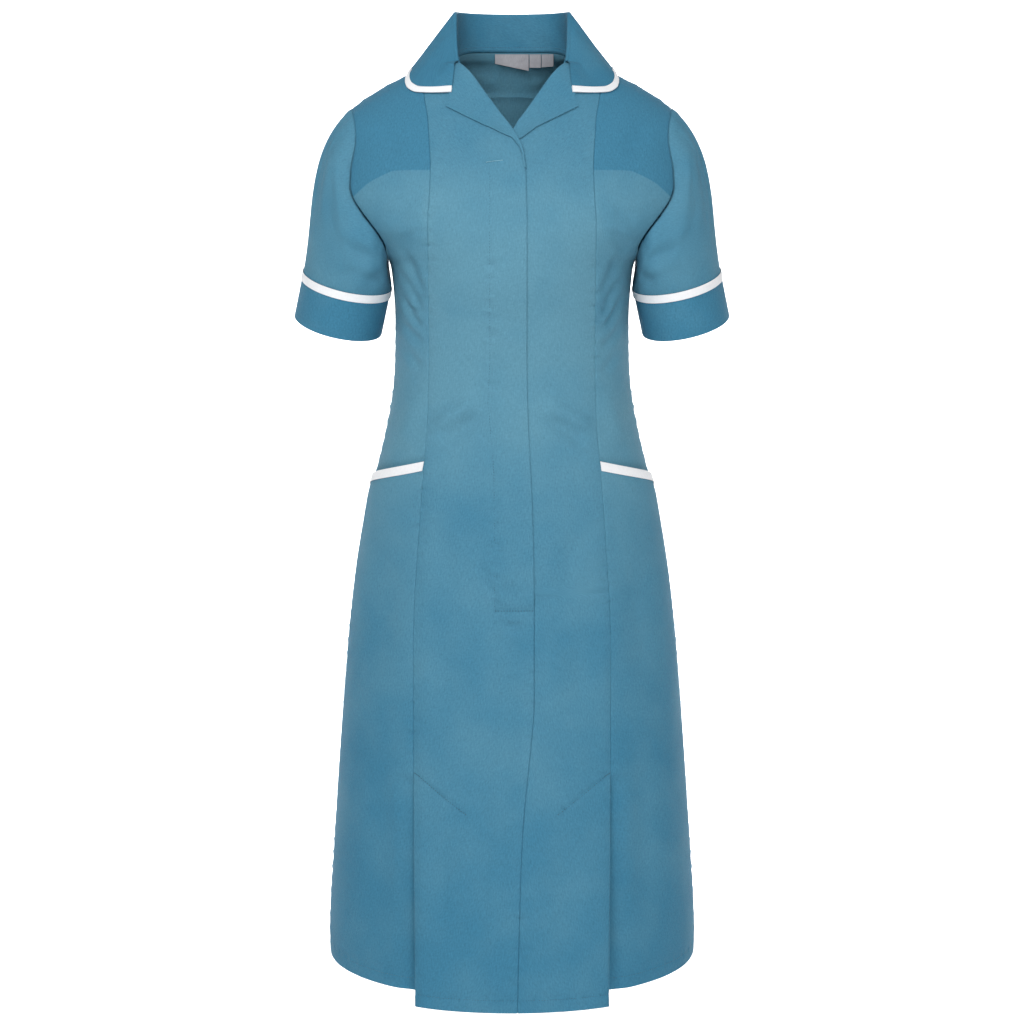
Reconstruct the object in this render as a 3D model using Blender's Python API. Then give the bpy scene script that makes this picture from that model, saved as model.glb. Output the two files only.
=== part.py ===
"""Nurse uniform dress, filled out with no wearer, as separate walls of cloth.

Metres, +Z up. The front faces -Y and the wearer's left is +X. The origin lies between
the two shoulder seams at the base of the neck. Angles run round the body in degrees:
0 at the centre front, 90 at the wearer's left side seam, 180 at the centre back.
Half pieces are worked out on the wearer's left and mirrored for the right.
"""
import math
from collections import namedtuple

import bmesh
import bpy
from mathutils import Vector

for leftover in list(bpy.data.objects):
    bpy.data.objects.remove(leftover, do_unlink=True)

# Driving sizes
WALL = 0.0012
CUFF_WALL = 0.0016
TAPE_WALL = 0.0008
BINDING_WALL = 0.0020
SEAM_INSET = 0.0002
SEAM_GAP = 2.0 * SEAM_INSET
LAYER_GAP = 0.0004
HEM_HEIGHT = -1.031
CENTRE_HEM_HEIGHT = -1.0415
SIDE_HEM_HEIGHT = -1.027
SHOULDER_POINT_HEIGHT = -0.053
UNDERARM_HEIGHT = -0.222
ARMHOLE_STATIONS = 20
YOKE_END_STATION = 3
YOKE_CENTRE_HEIGHT = -0.047
YOKE_SHOULDER_STEPS = (0.0, 0.33, 0.66, 0.887, 1.0)
BACK_LEVEL_HEIGHT = -0.353
BACK_ROW_CURVE = 1.4
TURN_STEP = 1.0
HEIGHT_STEP = 0.001
FOLD_TURNS = (0.0, 60.0, 120.0, 180.0)
TIGHT_FOLD_TURNS = (0.0, 90.0, 180.0)

# Fly front
PLACKET_RAISE = 0.0020
PLACKET_FULL_X = 0.020
PLACKET_FLAT_X = 0.034
FLY_END_HEIGHT = -0.586
FLY_BLEND_HEIGHT = -0.600
STAND_FIRST_ROW = 6

# Kick pleats
PLEAT_TOP_HEIGHT = -0.784
PLEAT_FULL_HEIGHT = -0.796
PLEAT_STAND = 0.020
PLEAT_STAND_CURVE = 1.15
PLEAT_DIP = 0.0044
PLEAT_DIP_WIDTH = 0.024
PLEAT_DEPTH = 0.058
PLEAT_SLANT = 0.036
PLEAT_TOP_DROP = 0.004
PLEAT_HEM_RISE = 0.003
PLEAT_FOLD_RADIUS = 0.0010
PLEAT_FOLD_OPENING = 0.10
PLEAT_SEAM_GAP = 0.0006
PLEAT_STEPS = (0.33, 0.66)

# Pocket mouths
POCKET_MOUTH_DROP = 0.0297
POCKET_LAP_DIP = 0.0018
POCKET_STAND = 0.0045
POCKET_STAND_DEPTH = 0.070
POCKET_STAND_CURVE = 1.7
POCKET_TAPE_WIDTH = 0.0105

# Sleeves
CUFF_DEPTH = 0.0545
SLEEVE_TAPE_WIDTH = 0.0094
CUFF_CENTRE = Vector((0.1966, -0.003, -0.2952))
CUFF_ACROSS = Vector((0.976, 0.0, 0.217))
CUFF_BACKWARD = Vector((0.0, 0.986, 0.168))
CUFF_HALF_WIDTH = 0.0504
CUFF_HALF_DEPTH = 0.0580
SLEEVE_START_GAP = 0.0005
SLEEVE_END_GAP = 0.0006
SLEEVE_UNDERARM_GAP = 0.0018
SLEEVE_CAP_REACH = 1.00
SLEEVE_UNDERARM_REACH = 0.62
SLEEVE_UNDERARM_TURN = 130.0
SLEEVE_CUFF_REACH = 0.90
SLEEVE_ROW_CURVE = 1.15

# Collar
COLLAR_BINDING_WIDTH = 0.0065
COLLAR_BINDING_GAP_SHARE = 0.08
COLLAR_SEAM_RISE = 0.0010
LAPEL_ROLL_RADIUS = 0.0013
LAPEL_EDGE_LIFT = 0.0011
LAPEL_SEAM_GAP = 4.0 * SEAM_INSET
LAPEL_STEPS = (0.25, 0.50, 0.75, 1.0)

# Half width of the dress at each height, past the armholes too
WIDTH_COLUMNS = ("height", "half_width")
WIDTH_ROWS = (
    (0.012, 0.0600), (0.000, 0.0640), (-0.006, 0.0900), (-0.013, 0.1100), (-0.0226, 0.1295),
    (-0.0305, 0.1445), (-0.038, 0.1570), (-0.0436, 0.1655), (-0.053, 0.1785), (-0.060, 0.1870),
    (-0.072, 0.1950), (-0.090, 0.1985), (-0.107, 0.2000), (-0.142, 0.2010), (-0.155, 0.1980),
    (-0.168, 0.1900), (-0.182, 0.1780), (-0.195, 0.1620), (-0.211, 0.1470), (-0.222, 0.1385),
    (-0.235, 0.1355), (-0.260, 0.1332), (-0.285, 0.1320), (-0.320, 0.1323), (-0.353, 0.1336),
    (-0.387, 0.1382), (-0.421, 0.1450), (-0.456, 0.1536), (-0.491, 0.1642), (-0.543, 0.1744),
    (-0.613, 0.1840), (-0.684, 0.1913), (-0.755, 0.1973), (-0.827, 0.2027), (-0.899, 0.2078),
    (-0.972, 0.2128), (-1.009, 0.2140), (-1.040, 0.2132),
)

# Depth in front of and behind the side seams, and how square each section is
DEPTH_COLUMNS = ("height", "front", "back", "squareness")
DEPTH_ROWS = (
    (0.012, 0.055, 0.0675, 2.0), (0.000, 0.056, 0.072, 2.0), (-0.010, 0.055, 0.077, 2.0),
    (-0.020, 0.058, 0.082, 2.0), (-0.035, 0.066, 0.089, 2.0), (-0.053, 0.077, 0.096, 2.0),
    (-0.078, 0.092, 0.103, 2.0), (-0.110, 0.110, 0.108, 2.05), (-0.150, 0.127, 0.110, 2.1),
    (-0.190, 0.136, 0.108, 2.1), (-0.230, 0.133, 0.103, 2.15), (-0.285, 0.118, 0.094, 2.2),
    (-0.353, 0.108, 0.088, 2.2), (-0.410, 0.112, 0.096, 2.2), (-0.473, 0.120, 0.112, 2.15),
    (-0.566, 0.129, 0.128, 2.1), (-0.684, 0.139, 0.137, 2.1), (-0.827, 0.152, 0.150, 2.1),
    (-1.040, 0.171, 0.170, 2.1),
)

# Armhole seam seen from the front and from behind
ARMHOLE_COLUMNS = ("height", "front_x", "back_x")
ARMHOLE_ROWS = (
    (-0.053, 0.1785, 0.1785), (-0.060, 0.1765, 0.1775), (-0.072, 0.1735, 0.1755),
    (-0.088, 0.1725, 0.1745), (-0.104, 0.1750, 0.1745), (-0.120, 0.1775, 0.1745),
    (-0.137, 0.1780, 0.1740), (-0.150, 0.1745, 0.1720), (-0.163, 0.1660, 0.1660),
    (-0.176, 0.1560, 0.1570), (-0.190, 0.1455, 0.1480), (-0.204, 0.1390, 0.1410),
    (-0.214, 0.1370, 0.1380), (-0.222, 0.1385, 0.1385),
)

# Princess seam between the centre front and the side front
PRINCESS_COLUMNS = ("height", "x")
PRINCESS_ROWS = (
    (-0.0085, 0.0975), (-0.037, 0.0965), (-0.061, 0.0922), (-0.086, 0.0903), (-0.110, 0.0887),
    (-0.147, 0.0897), (-0.172, 0.0914), (-0.316, 0.0917), (-0.400, 0.0945), (-0.438, 0.0974),
    (-0.475, 0.1004), (-0.539, 0.1048), (-0.600, 0.1085), (-0.645, 0.1097), (-0.784, 0.1103),
    (-1.040, 0.1098),
)

# Rows of the centre fronts from the shoulder seam down: inner edge, then princess seam
TopRow = namedtuple("TopRow", ("edge_x", "edge_height", "princess_height"))
TOP_ROWS = tuple(TopRow(*row) for row in (
    (0.0640, 0.0000, -0.0085), (0.0632, -0.0010, -0.0125), (0.0590, -0.0030, -0.0190),
    (0.0461, -0.0161, -0.0340), (0.0295, -0.0386, -0.0560), (0.0130, -0.0609, -0.0770),
    (0.0035, -0.0723, -0.0960), (-0.0098, -0.0950, -0.1180), (-0.0150, -0.1180, -0.1410),
))

# Rows of the bodice: height on the princess seam, then on the side seam where a row ends
# there and not in the armhole
BODICE_ROWS = (
    (-0.165, None), (-0.190, None), (-0.212, -0.236), (-0.235, -0.252), (-0.262, -0.270),
    (-0.290, -0.290), (-0.320, -0.320), (-0.353, -0.353), (-0.387, -0.387), (-0.4243, -0.4540),
    (-0.4363, -0.4660),
)
BODICE_HIDDEN_ROWS = ((-0.448, -0.478), (-0.463, -0.492))

# Rows of the skirt: height on the princess seam, then on the side seam. They slant at the
# pocket mouth and are level lower down.
SKIRT_ROWS = (
    (-0.4383, -0.4680), (-0.470, -0.492), (-0.515, -0.526), (-0.572, -0.572), (-0.586, -0.586),
    (-0.600, -0.600), (-0.645, -0.645), (-0.700, -0.700), (-0.745, -0.745), (-0.784, -0.784),
    (-0.796, -0.796), (-0.830, -0.830), (-0.880, -0.880), (-0.930, -0.930), (-0.980, -0.980),
    (HEM_HEIGHT, SIDE_HEM_HEIGHT),
)

# Inner edge of the centre fronts below the lapels, as x on the wearer's left
EDGE_COLUMNS = ("height", "x")
EDGE_ROWS = (
    (-0.118, 0.0150), (-0.127, 0.0162), (-0.323, 0.0164), (-0.392, 0.0180), (-0.436, 0.0202),
    (-0.480, 0.0224), (-0.526, 0.0237), (-0.600, 0.0248), (-0.700, 0.0248), (-0.753, 0.0210),
    (-0.806, 0.0155), (-0.860, 0.0111), (-0.970, 0.0078), (-1.040, 0.0060),
)

# How far the button stand reaches past the centre under the fly
STAND_COLUMNS = ("height", "reach")
STAND_ROWS = ((-0.072, -0.0035), (-0.095, 0.0085), (-0.118, 0.0150), (-0.572, 0.0150))

# Lapels: place on the roll line, counted in rows of the centre front, then the x and the
# height of the outer edge
LAPEL_ROWS = (
    (2.20, 0.0605, -0.0120), (2.60, 0.0650, -0.0300), (3.00, 0.0685, -0.0410),
    (3.45, 0.0720, -0.0504), (4.00, 0.0540, -0.0590), (4.50, 0.0380, -0.0665),
    (5.00, 0.0265, -0.0720),
)
LAPEL_END_OVER = ((5.90, 0.0120, -0.0792), (6.55, 0.0000, -0.0842))
LAPEL_END_UNDER = ((5.85, 0.0112, -0.0830),)

# Collar stations from the centre back to the front end. The seam and the edge lie on the
# body at an angle and height, and the fold stands free.
CollarRow = namedtuple("CollarRow", (
    "seam_angle", "seam_height", "fold_x", "fold_y", "fold_z",
    "edge_angle", "edge_height", "edge_lift", "roll_radius"))
COLLAR_ROWS = tuple(CollarRow(*row) for row in (
    (180.0, 0.0080, 0.0000, 0.0760, 0.0507, 180.0, -0.0120, 0.0020, 0.0026),
    (160.0, 0.0080, 0.0225, 0.0735, 0.0510, 164.0, -0.0135, 0.0020, 0.0026),
    (140.0, 0.0080, 0.0430, 0.0640, 0.0516, 146.0, -0.0165, 0.0020, 0.0026),
    (121.0, 0.0066, 0.0565, 0.0460, 0.0524, 128.0, -0.0190, 0.0020, 0.0024),
    (104.0, 0.0034, 0.0622, 0.0230, 0.0528, 110.0, -0.0188, 0.0020, 0.0022),
    (90.0, 0.0000, 0.0628, 0.0030, 0.0505, 92.0, -0.0165, 0.0020, 0.0021),
    (82.0, -0.0002, 0.0626, -0.0060, 0.0405, 76.0, -0.0178, 0.0020, 0.0020),
    (78.0, -0.0004, 0.0623, -0.0105, 0.0350, 68.5, -0.0216, 0.0020, 0.0019),
    (74.0, -0.0006, 0.0620, -0.0150, 0.0290, 61.0, -0.0265, 0.0020, 0.0018),
    (67.0, -0.0010, 0.0616, -0.0215, 0.0200, 52.0, -0.0316, 0.0020, 0.0018),
    (60.0, -0.0016, 0.0610, -0.0285, 0.0105, 43.0, -0.0348, 0.0022, 0.0016),
    (53.0, -0.0025, 0.0602, -0.0350, 0.0020, 34.5, -0.0356, 0.0028, 0.0014),
    (50.0, -0.0030, 0.0597, -0.0375, -0.0005, 25.6, -0.0350, 0.0032, 0.0012),
))
FALL_STEPS = (0.22, 0.50, 0.78)
STAND_STEPS = (0.0, 0.35, 0.72)

# Neck label and size tabs, blank, sewn into the neck seam: name, x of both sides and the
# length of both sides
TAB_ROWS = (
    ("label", -0.0203, 0.0200, 0.0105, 0.0185),
    ("size_tab_inner", 0.0210, 0.0345, 0.0150, 0.0150),
    ("size_tab_outer", 0.0355, 0.0490, 0.0145, 0.0135),
)
TAB_STANDOFF = 0.0029
TAB_TOP_DROP = 0.0015
TAB_TILT = 0.10

MATERIALS = {
    "teal_poplin": ((0.094, 0.290, 0.402), 0.85),
    "white_tape": ((0.86, 0.87, 0.89), 0.80),
    "grey_label": ((0.33, 0.33, 0.36), 0.75),
}


def smooth_between(keys, values, at):
    """Value at a key on a smooth curve that never overshoots. The keys fall."""
    if at >= keys[0]:
        return values[0]
    if at <= keys[-1]:
        return values[-1]
    index = 0
    while keys[index + 1] > at:
        index += 1
    spans = [keys[i + 1] - keys[i] for i in range(len(keys) - 1)]
    rises = [(values[i + 1] - values[i]) / spans[i] for i in range(len(spans))]

    def slope(i):
        if i == 0:
            return rises[0]
        if i == len(keys) - 1:
            return rises[-1]
        if rises[i - 1] * rises[i] <= 0.0:
            return 0.0
        return 2.0 * rises[i - 1] * rises[i] / (rises[i - 1] + rises[i])

    span = spans[index]
    t = (at - keys[index]) / span
    return ((2 * t ** 3 - 3 * t ** 2 + 1) * values[index]
            + (t ** 3 - 2 * t ** 2 + t) * span * slope(index)
            + (3 * t ** 2 - 2 * t ** 3) * values[index + 1]
            + (t ** 3 - t ** 2) * span * slope(index + 1))


def at_height(rows, names, name, height):
    """Value in one column of a table whose first column is the height."""
    index = names.index(name)
    return smooth_between([row[0] for row in rows], [row[index] for row in rows], height)


def ease(t):
    """Smooth step from 0 to 1."""
    t = min(1.0, max(0.0, t))
    return t * t * (3.0 - 2.0 * t)


def mix(a, b, t):
    return a + (b - a) * t


def section(height):
    """Half width, front depth, back depth and squareness at a height."""
    half_width = at_height(WIDTH_ROWS, WIDTH_COLUMNS, "half_width", height)
    depths = [at_height(DEPTH_ROWS, DEPTH_COLUMNS, name, height) for name in DEPTH_COLUMNS[1:]]
    return [half_width] + depths


def signed_power(value, power):
    return math.copysign(abs(value) ** power, value)


def body_surface(angle, height):
    half_width, front, back, squareness = section(height)
    turn = math.radians(angle)
    depth = front if math.cos(turn) > 0.0 else back
    return Vector((half_width * signed_power(math.sin(turn), 2.0 / squareness),
                   -depth * signed_power(math.cos(turn), 2.0 / squareness),
                   height))


def body_normal(angle, height):
    around = body_surface(angle + TURN_STEP, height) - body_surface(angle - TURN_STEP, height)
    down = (body_surface(angle, height - HEIGHT_STEP)
            - body_surface(angle, height + HEIGHT_STEP))
    return down.cross(around).normalized()


def body_point(angle, height, outward=0.0, forward=0.0):
    moved = body_normal(angle, height) * outward - Vector((0.0, forward, 0.0))
    return body_surface(angle, height) + moved


def angle_at(x, height):
    """Angle on the front half where the body has this x."""
    half_width, _, _, squareness = section(height)
    ratio = min(1.0, abs(x) / half_width)
    return math.copysign(math.degrees(math.asin(ratio ** (squareness / 2.0))), x)


def clear_of_body(point, lift):
    """The point, moved out if it is nearer to the body than the lift."""
    def reach(p):
        half_width, front, back, squareness = section(p.z)
        depth = front if p.y < 0.0 else back
        return ((abs(p.x) / half_width) ** squareness
                + (abs(p.y) / depth) ** squareness) ** (1.0 / squareness)

    steps = [Vector((HEIGHT_STEP, 0, 0)), Vector((0, HEIGHT_STEP, 0)), Vector((0, 0, HEIGHT_STEP))]
    for _ in range(3):
        here = reach(point)
        gradient = Vector([(reach(point + step) - here) / HEIGHT_STEP for step in steps])
        away = (here - 1.0) / gradient.length
        if away >= lift:
            break
        point = point + gradient.normalized() * (lift - away)
    return point


def princess_angle(height):
    return angle_at(at_height(PRINCESS_ROWS, PRINCESS_COLUMNS, "x", height), height)


def armhole(station):
    """Angle and height of an armhole station: 0 at the shoulder, then down the front."""
    turn = 2.0 * math.pi * station / ARMHOLE_STATIONS
    height = mix(SHOULDER_POINT_HEIGHT, UNDERARM_HEIGHT, (1.0 - math.cos(turn)) / 2.0)
    half = ARMHOLE_STATIONS // 2
    side = "front_x" if station <= half else "back_x"
    if station in (0, half):
        return 90.0, height
    x = at_height(ARMHOLE_ROWS, ARMHOLE_COLUMNS, side, height)
    angle = angle_at(x, height)
    return (angle, height) if station < half else (180.0 - angle, height)


def mirrored(point):
    return Vector((-point.x, point.y, point.z))


def pull_in_border(grid, inset, wrap=False):
    """Move the border of a grid of points inward, which leaves the seam gaps."""
    rows, columns = len(grid), len(grid[0])
    shifts = {}
    for i in range(rows):
        for j in range(columns):
            shift = Vector((0.0, 0.0, 0.0))
            if i in (0, rows - 1):
                inner = grid[1][j] if i == 0 else grid[rows - 2][j]
                shift += (inner - grid[i][j]).normalized() * inset
            if not wrap and j in (0, columns - 1):
                inner = grid[i][1] if j == 0 else grid[i][columns - 2]
                shift += (inner - grid[i][j]).normalized() * inset
            shifts[i, j] = shift
    for (i, j), shift in shifts.items():
        grid[i][j] = grid[i][j] + shift


def grid_normals(grid, wrap=False):
    """Unit normals of a grid of points, from its neighbours."""
    rows, columns = len(grid), len(grid[0])
    normals = []
    for i in range(rows):
        line = []
        for j in range(columns):
            below = grid[min(i + 1, rows - 1)][j] - grid[max(i - 1, 0)][j]
            if wrap:
                along = grid[i][(j + 1) % columns] - grid[i][j - 1]
            else:
                along = grid[i][min(j + 1, columns - 1)] - grid[i][max(j - 1, 0)]
            line.append(below.cross(along).normalized())
        normals.append(line)
    return normals


def material(name):
    colour, roughness = MATERIALS[name]
    made = bpy.data.materials.get(name) or bpy.data.materials.new(name)
    made.use_nodes = True
    shader = made.node_tree.nodes["Principled BSDF"]
    shader.inputs["Base Color"].default_value = (*colour, 1.0)
    shader.inputs["Roughness"].default_value = roughness
    shader.inputs["Metallic"].default_value = 0.0
    return made


def make_object(name, points, faces, material_name):
    mesh = bpy.data.meshes.new(name)
    mesh.from_pydata([tuple(p) for p in points], [], faces)
    shaped = bmesh.new()
    shaped.from_mesh(mesh)
    bmesh.ops.recalc_face_normals(shaped, faces=shaped.faces)
    bmesh.ops.triangulate(shaped, faces=shaped.faces)
    shaped.to_mesh(mesh)
    shaped.free()
    mesh.materials.append(material(material_name))
    thing = bpy.data.objects.new(name, mesh)
    bpy.context.scene.collection.objects.link(thing)
    return thing


def make_wall(name, outer, inner, material_name="teal_poplin", wrap=False):
    """Closed wall between two grids of points, with rims along its borders."""
    rows, columns = len(outer), len(outer[0])
    points = [p for line in outer for p in line] + [p for line in inner for p in line]
    behind = rows * columns

    def at(i, j, side=0):
        return side * behind + i * columns + j % columns

    spans = columns if wrap else columns - 1
    faces = []
    for i in range(rows - 1):
        for j in range(spans):
            faces.append((at(i, j), at(i + 1, j), at(i + 1, j + 1), at(i, j + 1)))
            faces.append((at(i, j, 1), at(i, j + 1, 1), at(i + 1, j + 1, 1), at(i + 1, j, 1)))
    for i in (0, rows - 1):
        for j in range(spans):
            faces.append((at(i, j), at(i, j + 1), at(i, j + 1, 1), at(i, j, 1)))
    if not wrap:
        for j in (0, columns - 1):
            for i in range(rows - 1):
                faces.append((at(i, j), at(i + 1, j), at(i + 1, j, 1), at(i, j, 1)))
    return make_object(name, points, faces, material_name)


def panel_from_places(name, places, side, wall=WALL, material_name="teal_poplin"):
    """Body panel from rows of body places, mirrored for the wearer's right."""
    outer = [[body_point(*place) for place in line] for line in places]
    pull_in_border(outer, SEAM_INSET)
    inner = [[outer[i][j] - body_normal(*place[:2]) * wall for j, place in enumerate(line)]
             for i, line in enumerate(places)]
    if side < 0:
        outer = [[mirrored(p) for p in line] for line in outer]
        inner = [[mirrored(p) for p in line] for line in inner]
    return make_wall(name, outer, inner, material_name)


def wall_from_middle(name, middle, wall, material_name="teal_poplin", side=1, wrap=False):
    """Wall with half its thickness on each side of a grid of points."""
    normals = grid_normals(middle, wrap)
    half = wall / 2.0
    outer = [[p + normals[i][j] * half for j, p in enumerate(line)]
             for i, line in enumerate(middle)]
    inner = [[p - normals[i][j] * half for j, p in enumerate(line)]
             for i, line in enumerate(middle)]
    if side < 0:
        outer = [[mirrored(p) for p in line] for line in outer]
        inner = [[mirrored(p) for p in line] for line in inner]
    return make_wall(name, outer, inner, material_name, wrap)


def pleat_stand(height):
    """How far the centre panel stands forward over the open kick pleats."""
    fall = (PLEAT_TOP_HEIGHT - height) / (PLEAT_TOP_HEIGHT - HEM_HEIGHT)
    return PLEAT_STAND * max(0.0, fall) ** PLEAT_STAND_CURVE


def pleat_radius(height):
    """Radius of the fold down each edge of the centre panel."""
    return PLEAT_FOLD_RADIUS + PLEAT_FOLD_OPENING * pleat_stand(height)


def panel_edge_angle(height):
    """Edge of the centre panel: the princess seam, and inside the fold where pleats open."""
    opened = ease((PLEAT_TOP_HEIGHT - height) / (PLEAT_TOP_HEIGHT - PLEAT_FULL_HEIGHT))
    fold = pleat_radius(height) + WALL / 2.0 + PLEAT_SEAM_GAP
    x = at_height(PRINCESS_ROWS, PRINCESS_COLUMNS, "x", height)
    return angle_at(x - fold * opened, height)


def placket_raise(own_x, height):
    """The fly edge lies over the button stand, down to the end of the fly."""
    across = ease((PLACKET_FLAT_X - own_x) / (PLACKET_FLAT_X - PLACKET_FULL_X))
    down = ease((height - FLY_BLEND_HEIGHT) / (FLY_END_HEIGHT - FLY_BLEND_HEIGHT))
    return PLACKET_RAISE * across * down


def front_rows():
    """Inner edge and princess heights of every row of a centre front."""
    rows = [(row.edge_height, row.princess_height) for row in TOP_ROWS]
    rows += [(princess, princess) for princess, _ in BODICE_ROWS]
    rows += [(princess, princess) for princess, _ in SKIRT_ROWS[:-1]]
    return rows + [(CENTRE_HEM_HEIGHT, CENTRE_HEM_HEIGHT)]


def front_edge_x(side, row, height):
    """x of the inner edge on the wearer's own side, less than 0 past the centre."""
    over_x = at_height(EDGE_ROWS, EDGE_COLUMNS, "x", height)
    if side < 0:
        return TOP_ROWS[row].edge_x if row < len(TOP_ROWS) else -over_x
    if row < STAND_FIRST_ROW:
        return TOP_ROWS[row].edge_x
    if height > FLY_END_HEIGHT:
        return -at_height(STAND_ROWS, STAND_COLUMNS, "reach", height)
    return over_x


def make_front(name, side, columns=7):
    places = []
    for row, (edge_height, princess_height) in enumerate(front_rows()):
        edge = angle_at(front_edge_x(side, row, edge_height), edge_height)
        outer = panel_edge_angle(princess_height)
        if row == 0:
            edge = outer = 90.0
        line = []
        for j in range(columns + 1):
            t = j / columns
            angle = mix(edge, outer, t)
            height = mix(edge_height, princess_height, t)
            own_x = body_surface(angle, height).x
            outward = placket_raise(own_x, height) if side < 0 else 0.0
            line.append((angle, height, outward, pleat_stand(height)))
        places.append(line)
    return panel_from_places(name, places, side)


def side_ends():
    """Princess heights of the bodice rows with the places of their outer ends."""
    half = ARMHOLE_STATIONS // 2
    princess = [row.princess_height for row in TOP_ROWS] + [row[0] for row in BODICE_ROWS]
    ends = [armhole(station) for station in range(half + 1)]
    ends += [(90.0, side) for _, side in BODICE_ROWS if side is not None]
    return list(zip(princess, ends))


def make_side_front(name, side, columns=7):
    """Side front of the bodice, which runs on behind the pocket mouth."""
    rows = [(princess, end, 0.0) for princess, end in side_ends()]
    rows[-1] = (*rows[-1][:2], -POCKET_LAP_DIP)
    rows += [(princess, (90.0, end), -POCKET_LAP_DIP) for princess, end in BODICE_HIDDEN_ROWS]
    places = []
    for row, (princess_height, (end_angle, end_height), outward) in enumerate(rows):
        start = 90.0 if row == 0 else princess_angle(princess_height)
        places.append([(mix(start, end_angle, j / columns),
                        mix(princess_height, end_height, j / columns), outward)
                       for j in range(columns + 1)])
    return panel_from_places(name, places, side)


def skirt_places(columns):
    """Rows of the side skirt, with the gaping pocket mouth and the pleat dip."""
    places = []
    for princess_height, side_height in SKIRT_ROWS:
        start = princess_angle(princess_height)
        dip = PLEAT_DIP * ease((PLEAT_TOP_HEIGHT - princess_height)
                               / (PLEAT_TOP_HEIGHT - PLEAT_FULL_HEIGHT))
        line = []
        for j in range(columns + 1):
            t = j / columns
            angle = mix(start, 90.0, t)
            height = mix(princess_height, side_height, t)
            across = body_surface(angle, height).x - body_surface(start, height).x
            outward = -dip * ease(1.0 - across / PLEAT_DIP_WIDTH)
            below = (SKIRT_ROWS[0][0] - POCKET_MOUTH_DROP * t - height) / POCKET_STAND_DEPTH
            outward += POCKET_STAND * math.sin(math.pi * t ** POCKET_STAND_CURVE) * (1.0 - ease(below))
            line.append((angle, height, outward))
        places.append(line)
    return places


def make_side_skirt(name, side, columns=7):
    return panel_from_places(name, skirt_places(columns), side)


def make_pocket_trim(name, side, columns=7):
    """Tape along the pocket mouth, made from the skirt panel's points moved out."""
    top = skirt_places(columns)[0]
    lift = LAYER_GAP + TAPE_WALL
    places = [[(angle, height - drop, outward + lift) for angle, height, outward in top]
              for drop in (0.0, POCKET_TAPE_WIDTH)]
    return panel_from_places(name, places, side, TAPE_WALL, "white_tape")


def make_kick_pleat(name, side, rows=8):
    """Z fold of cloth behind one edge of the centre panel."""
    layer_near = -WALL / 2.0 - 2.0 * PLEAT_FOLD_RADIUS
    layer_far = -PLEAT_DIP - WALL / 2.0
    middle = []
    for i in range(rows + 1):
        fall = i / rows
        line = []
        for inward, slant, depth, stand_share in pleat_profile(fall, layer_near, layer_far):
            top = PLEAT_FULL_HEIGHT - PLEAT_TOP_DROP - slant * PLEAT_SLANT
            low = mix(HEM_HEIGHT + PLEAT_HEM_RISE, CENTRE_HEM_HEIGHT, stand_share)
            height = mix(top, low, fall)
            x = body_surface(princess_angle(height), height).x - inward
            forward = pleat_stand(height) * stand_share
            line.append(body_point(angle_at(x, height), height, depth, forward))
        middle.append(line)
    return wall_from_middle(name, middle, WALL, side=side)


def pleat_profile(fall, layer_near, layer_far):
    """Across the pleat: inward distance, share of the slanting top, distance outward and
    share of the centre panel's stand."""
    radius = pleat_radius(mix(PLEAT_FULL_HEIGHT, HEM_HEIGHT, fall))
    fold_inward = radius + WALL / 2.0
    profile = []
    for turn in FOLD_TURNS:
        swing = math.radians(turn)
        profile.append((fold_inward - radius * math.sin(swing), 0.0,
                        -WALL / 2.0 - radius * (1.0 - math.cos(swing)), 1.0))
    under = -WALL / 2.0 - 2.0 * radius
    for t in PLEAT_STEPS:
        profile.append((PLEAT_DEPTH * t, t, mix(under, layer_near, t), 1.0 - t))
    fold = (layer_near - layer_far) / 2.0
    for turn in TIGHT_FOLD_TURNS:
        swing = math.radians(turn)
        profile.append((PLEAT_DEPTH + fold * math.sin(swing), 1.0,
                        layer_near - fold * (1.0 - math.cos(swing)), 0.0))
    for t in reversed(PLEAT_STEPS):
        profile.append((PLEAT_DEPTH * t, t, layer_far, 0.0))
    profile.append((SEAM_GAP, 0.0, layer_far, 0.0))
    return profile


def yoke_seam(t):
    """Angle and height of the yoke seam, from the centre back to the armhole."""
    end_angle, end_height = armhole(ARMHOLE_STATIONS - YOKE_END_STATION)
    return mix(180.0, end_angle, t), mix(YOKE_CENTRE_HEIGHT, end_height, t * t)


def back_half_rows():
    """Centre height and outer place of every row of the back, below the yoke seam."""
    half = ARMHOLE_STATIONS // 2
    ends = [armhole(ARMHOLE_STATIONS - station) for station in range(YOKE_END_STATION, half + 1)]
    ends += [(90.0, side) for _, side in BODICE_ROWS if side is not None]
    ends += [(90.0, side) for _, side in SKIRT_ROWS]
    top_height = ends[0][1]
    rows = []
    for end_angle, end_height in ends:
        share = max(0.0, (end_height - BACK_LEVEL_HEIGHT) / (top_height - BACK_LEVEL_HEIGHT))
        rise = (YOKE_CENTRE_HEIGHT - top_height) * share ** BACK_ROW_CURVE
        rows.append((end_height + rise, end_angle, end_height))
    return rows


def make_back(name, half_columns=8):
    places = []
    for centre_height, end_angle, end_height in back_half_rows():
        half = []
        for j in range(half_columns + 1):
            t = 1.0 - j / half_columns
            half.append((mix(180.0, end_angle, t), mix(centre_height, end_height, t * t), 0.0))
        other = [(360.0 - angle, height, 0.0) for angle, height, _ in reversed(half[:-1])]
        places.append(half + other)
    return panel_from_places(name, places, 1)


def yoke_half_columns():
    """Top edge of half the yoke, from the armhole over the shoulder to the centre back."""
    tops = [(90.0, SHOULDER_POINT_HEIGHT * (1.0 - t)) for t in YOKE_SHOULDER_STEPS]
    neck = [(row.seam_angle, row.seam_height) for row in COLLAR_ROWS if row.seam_angle > 90.0]
    return tops + neck[::-1]


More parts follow.
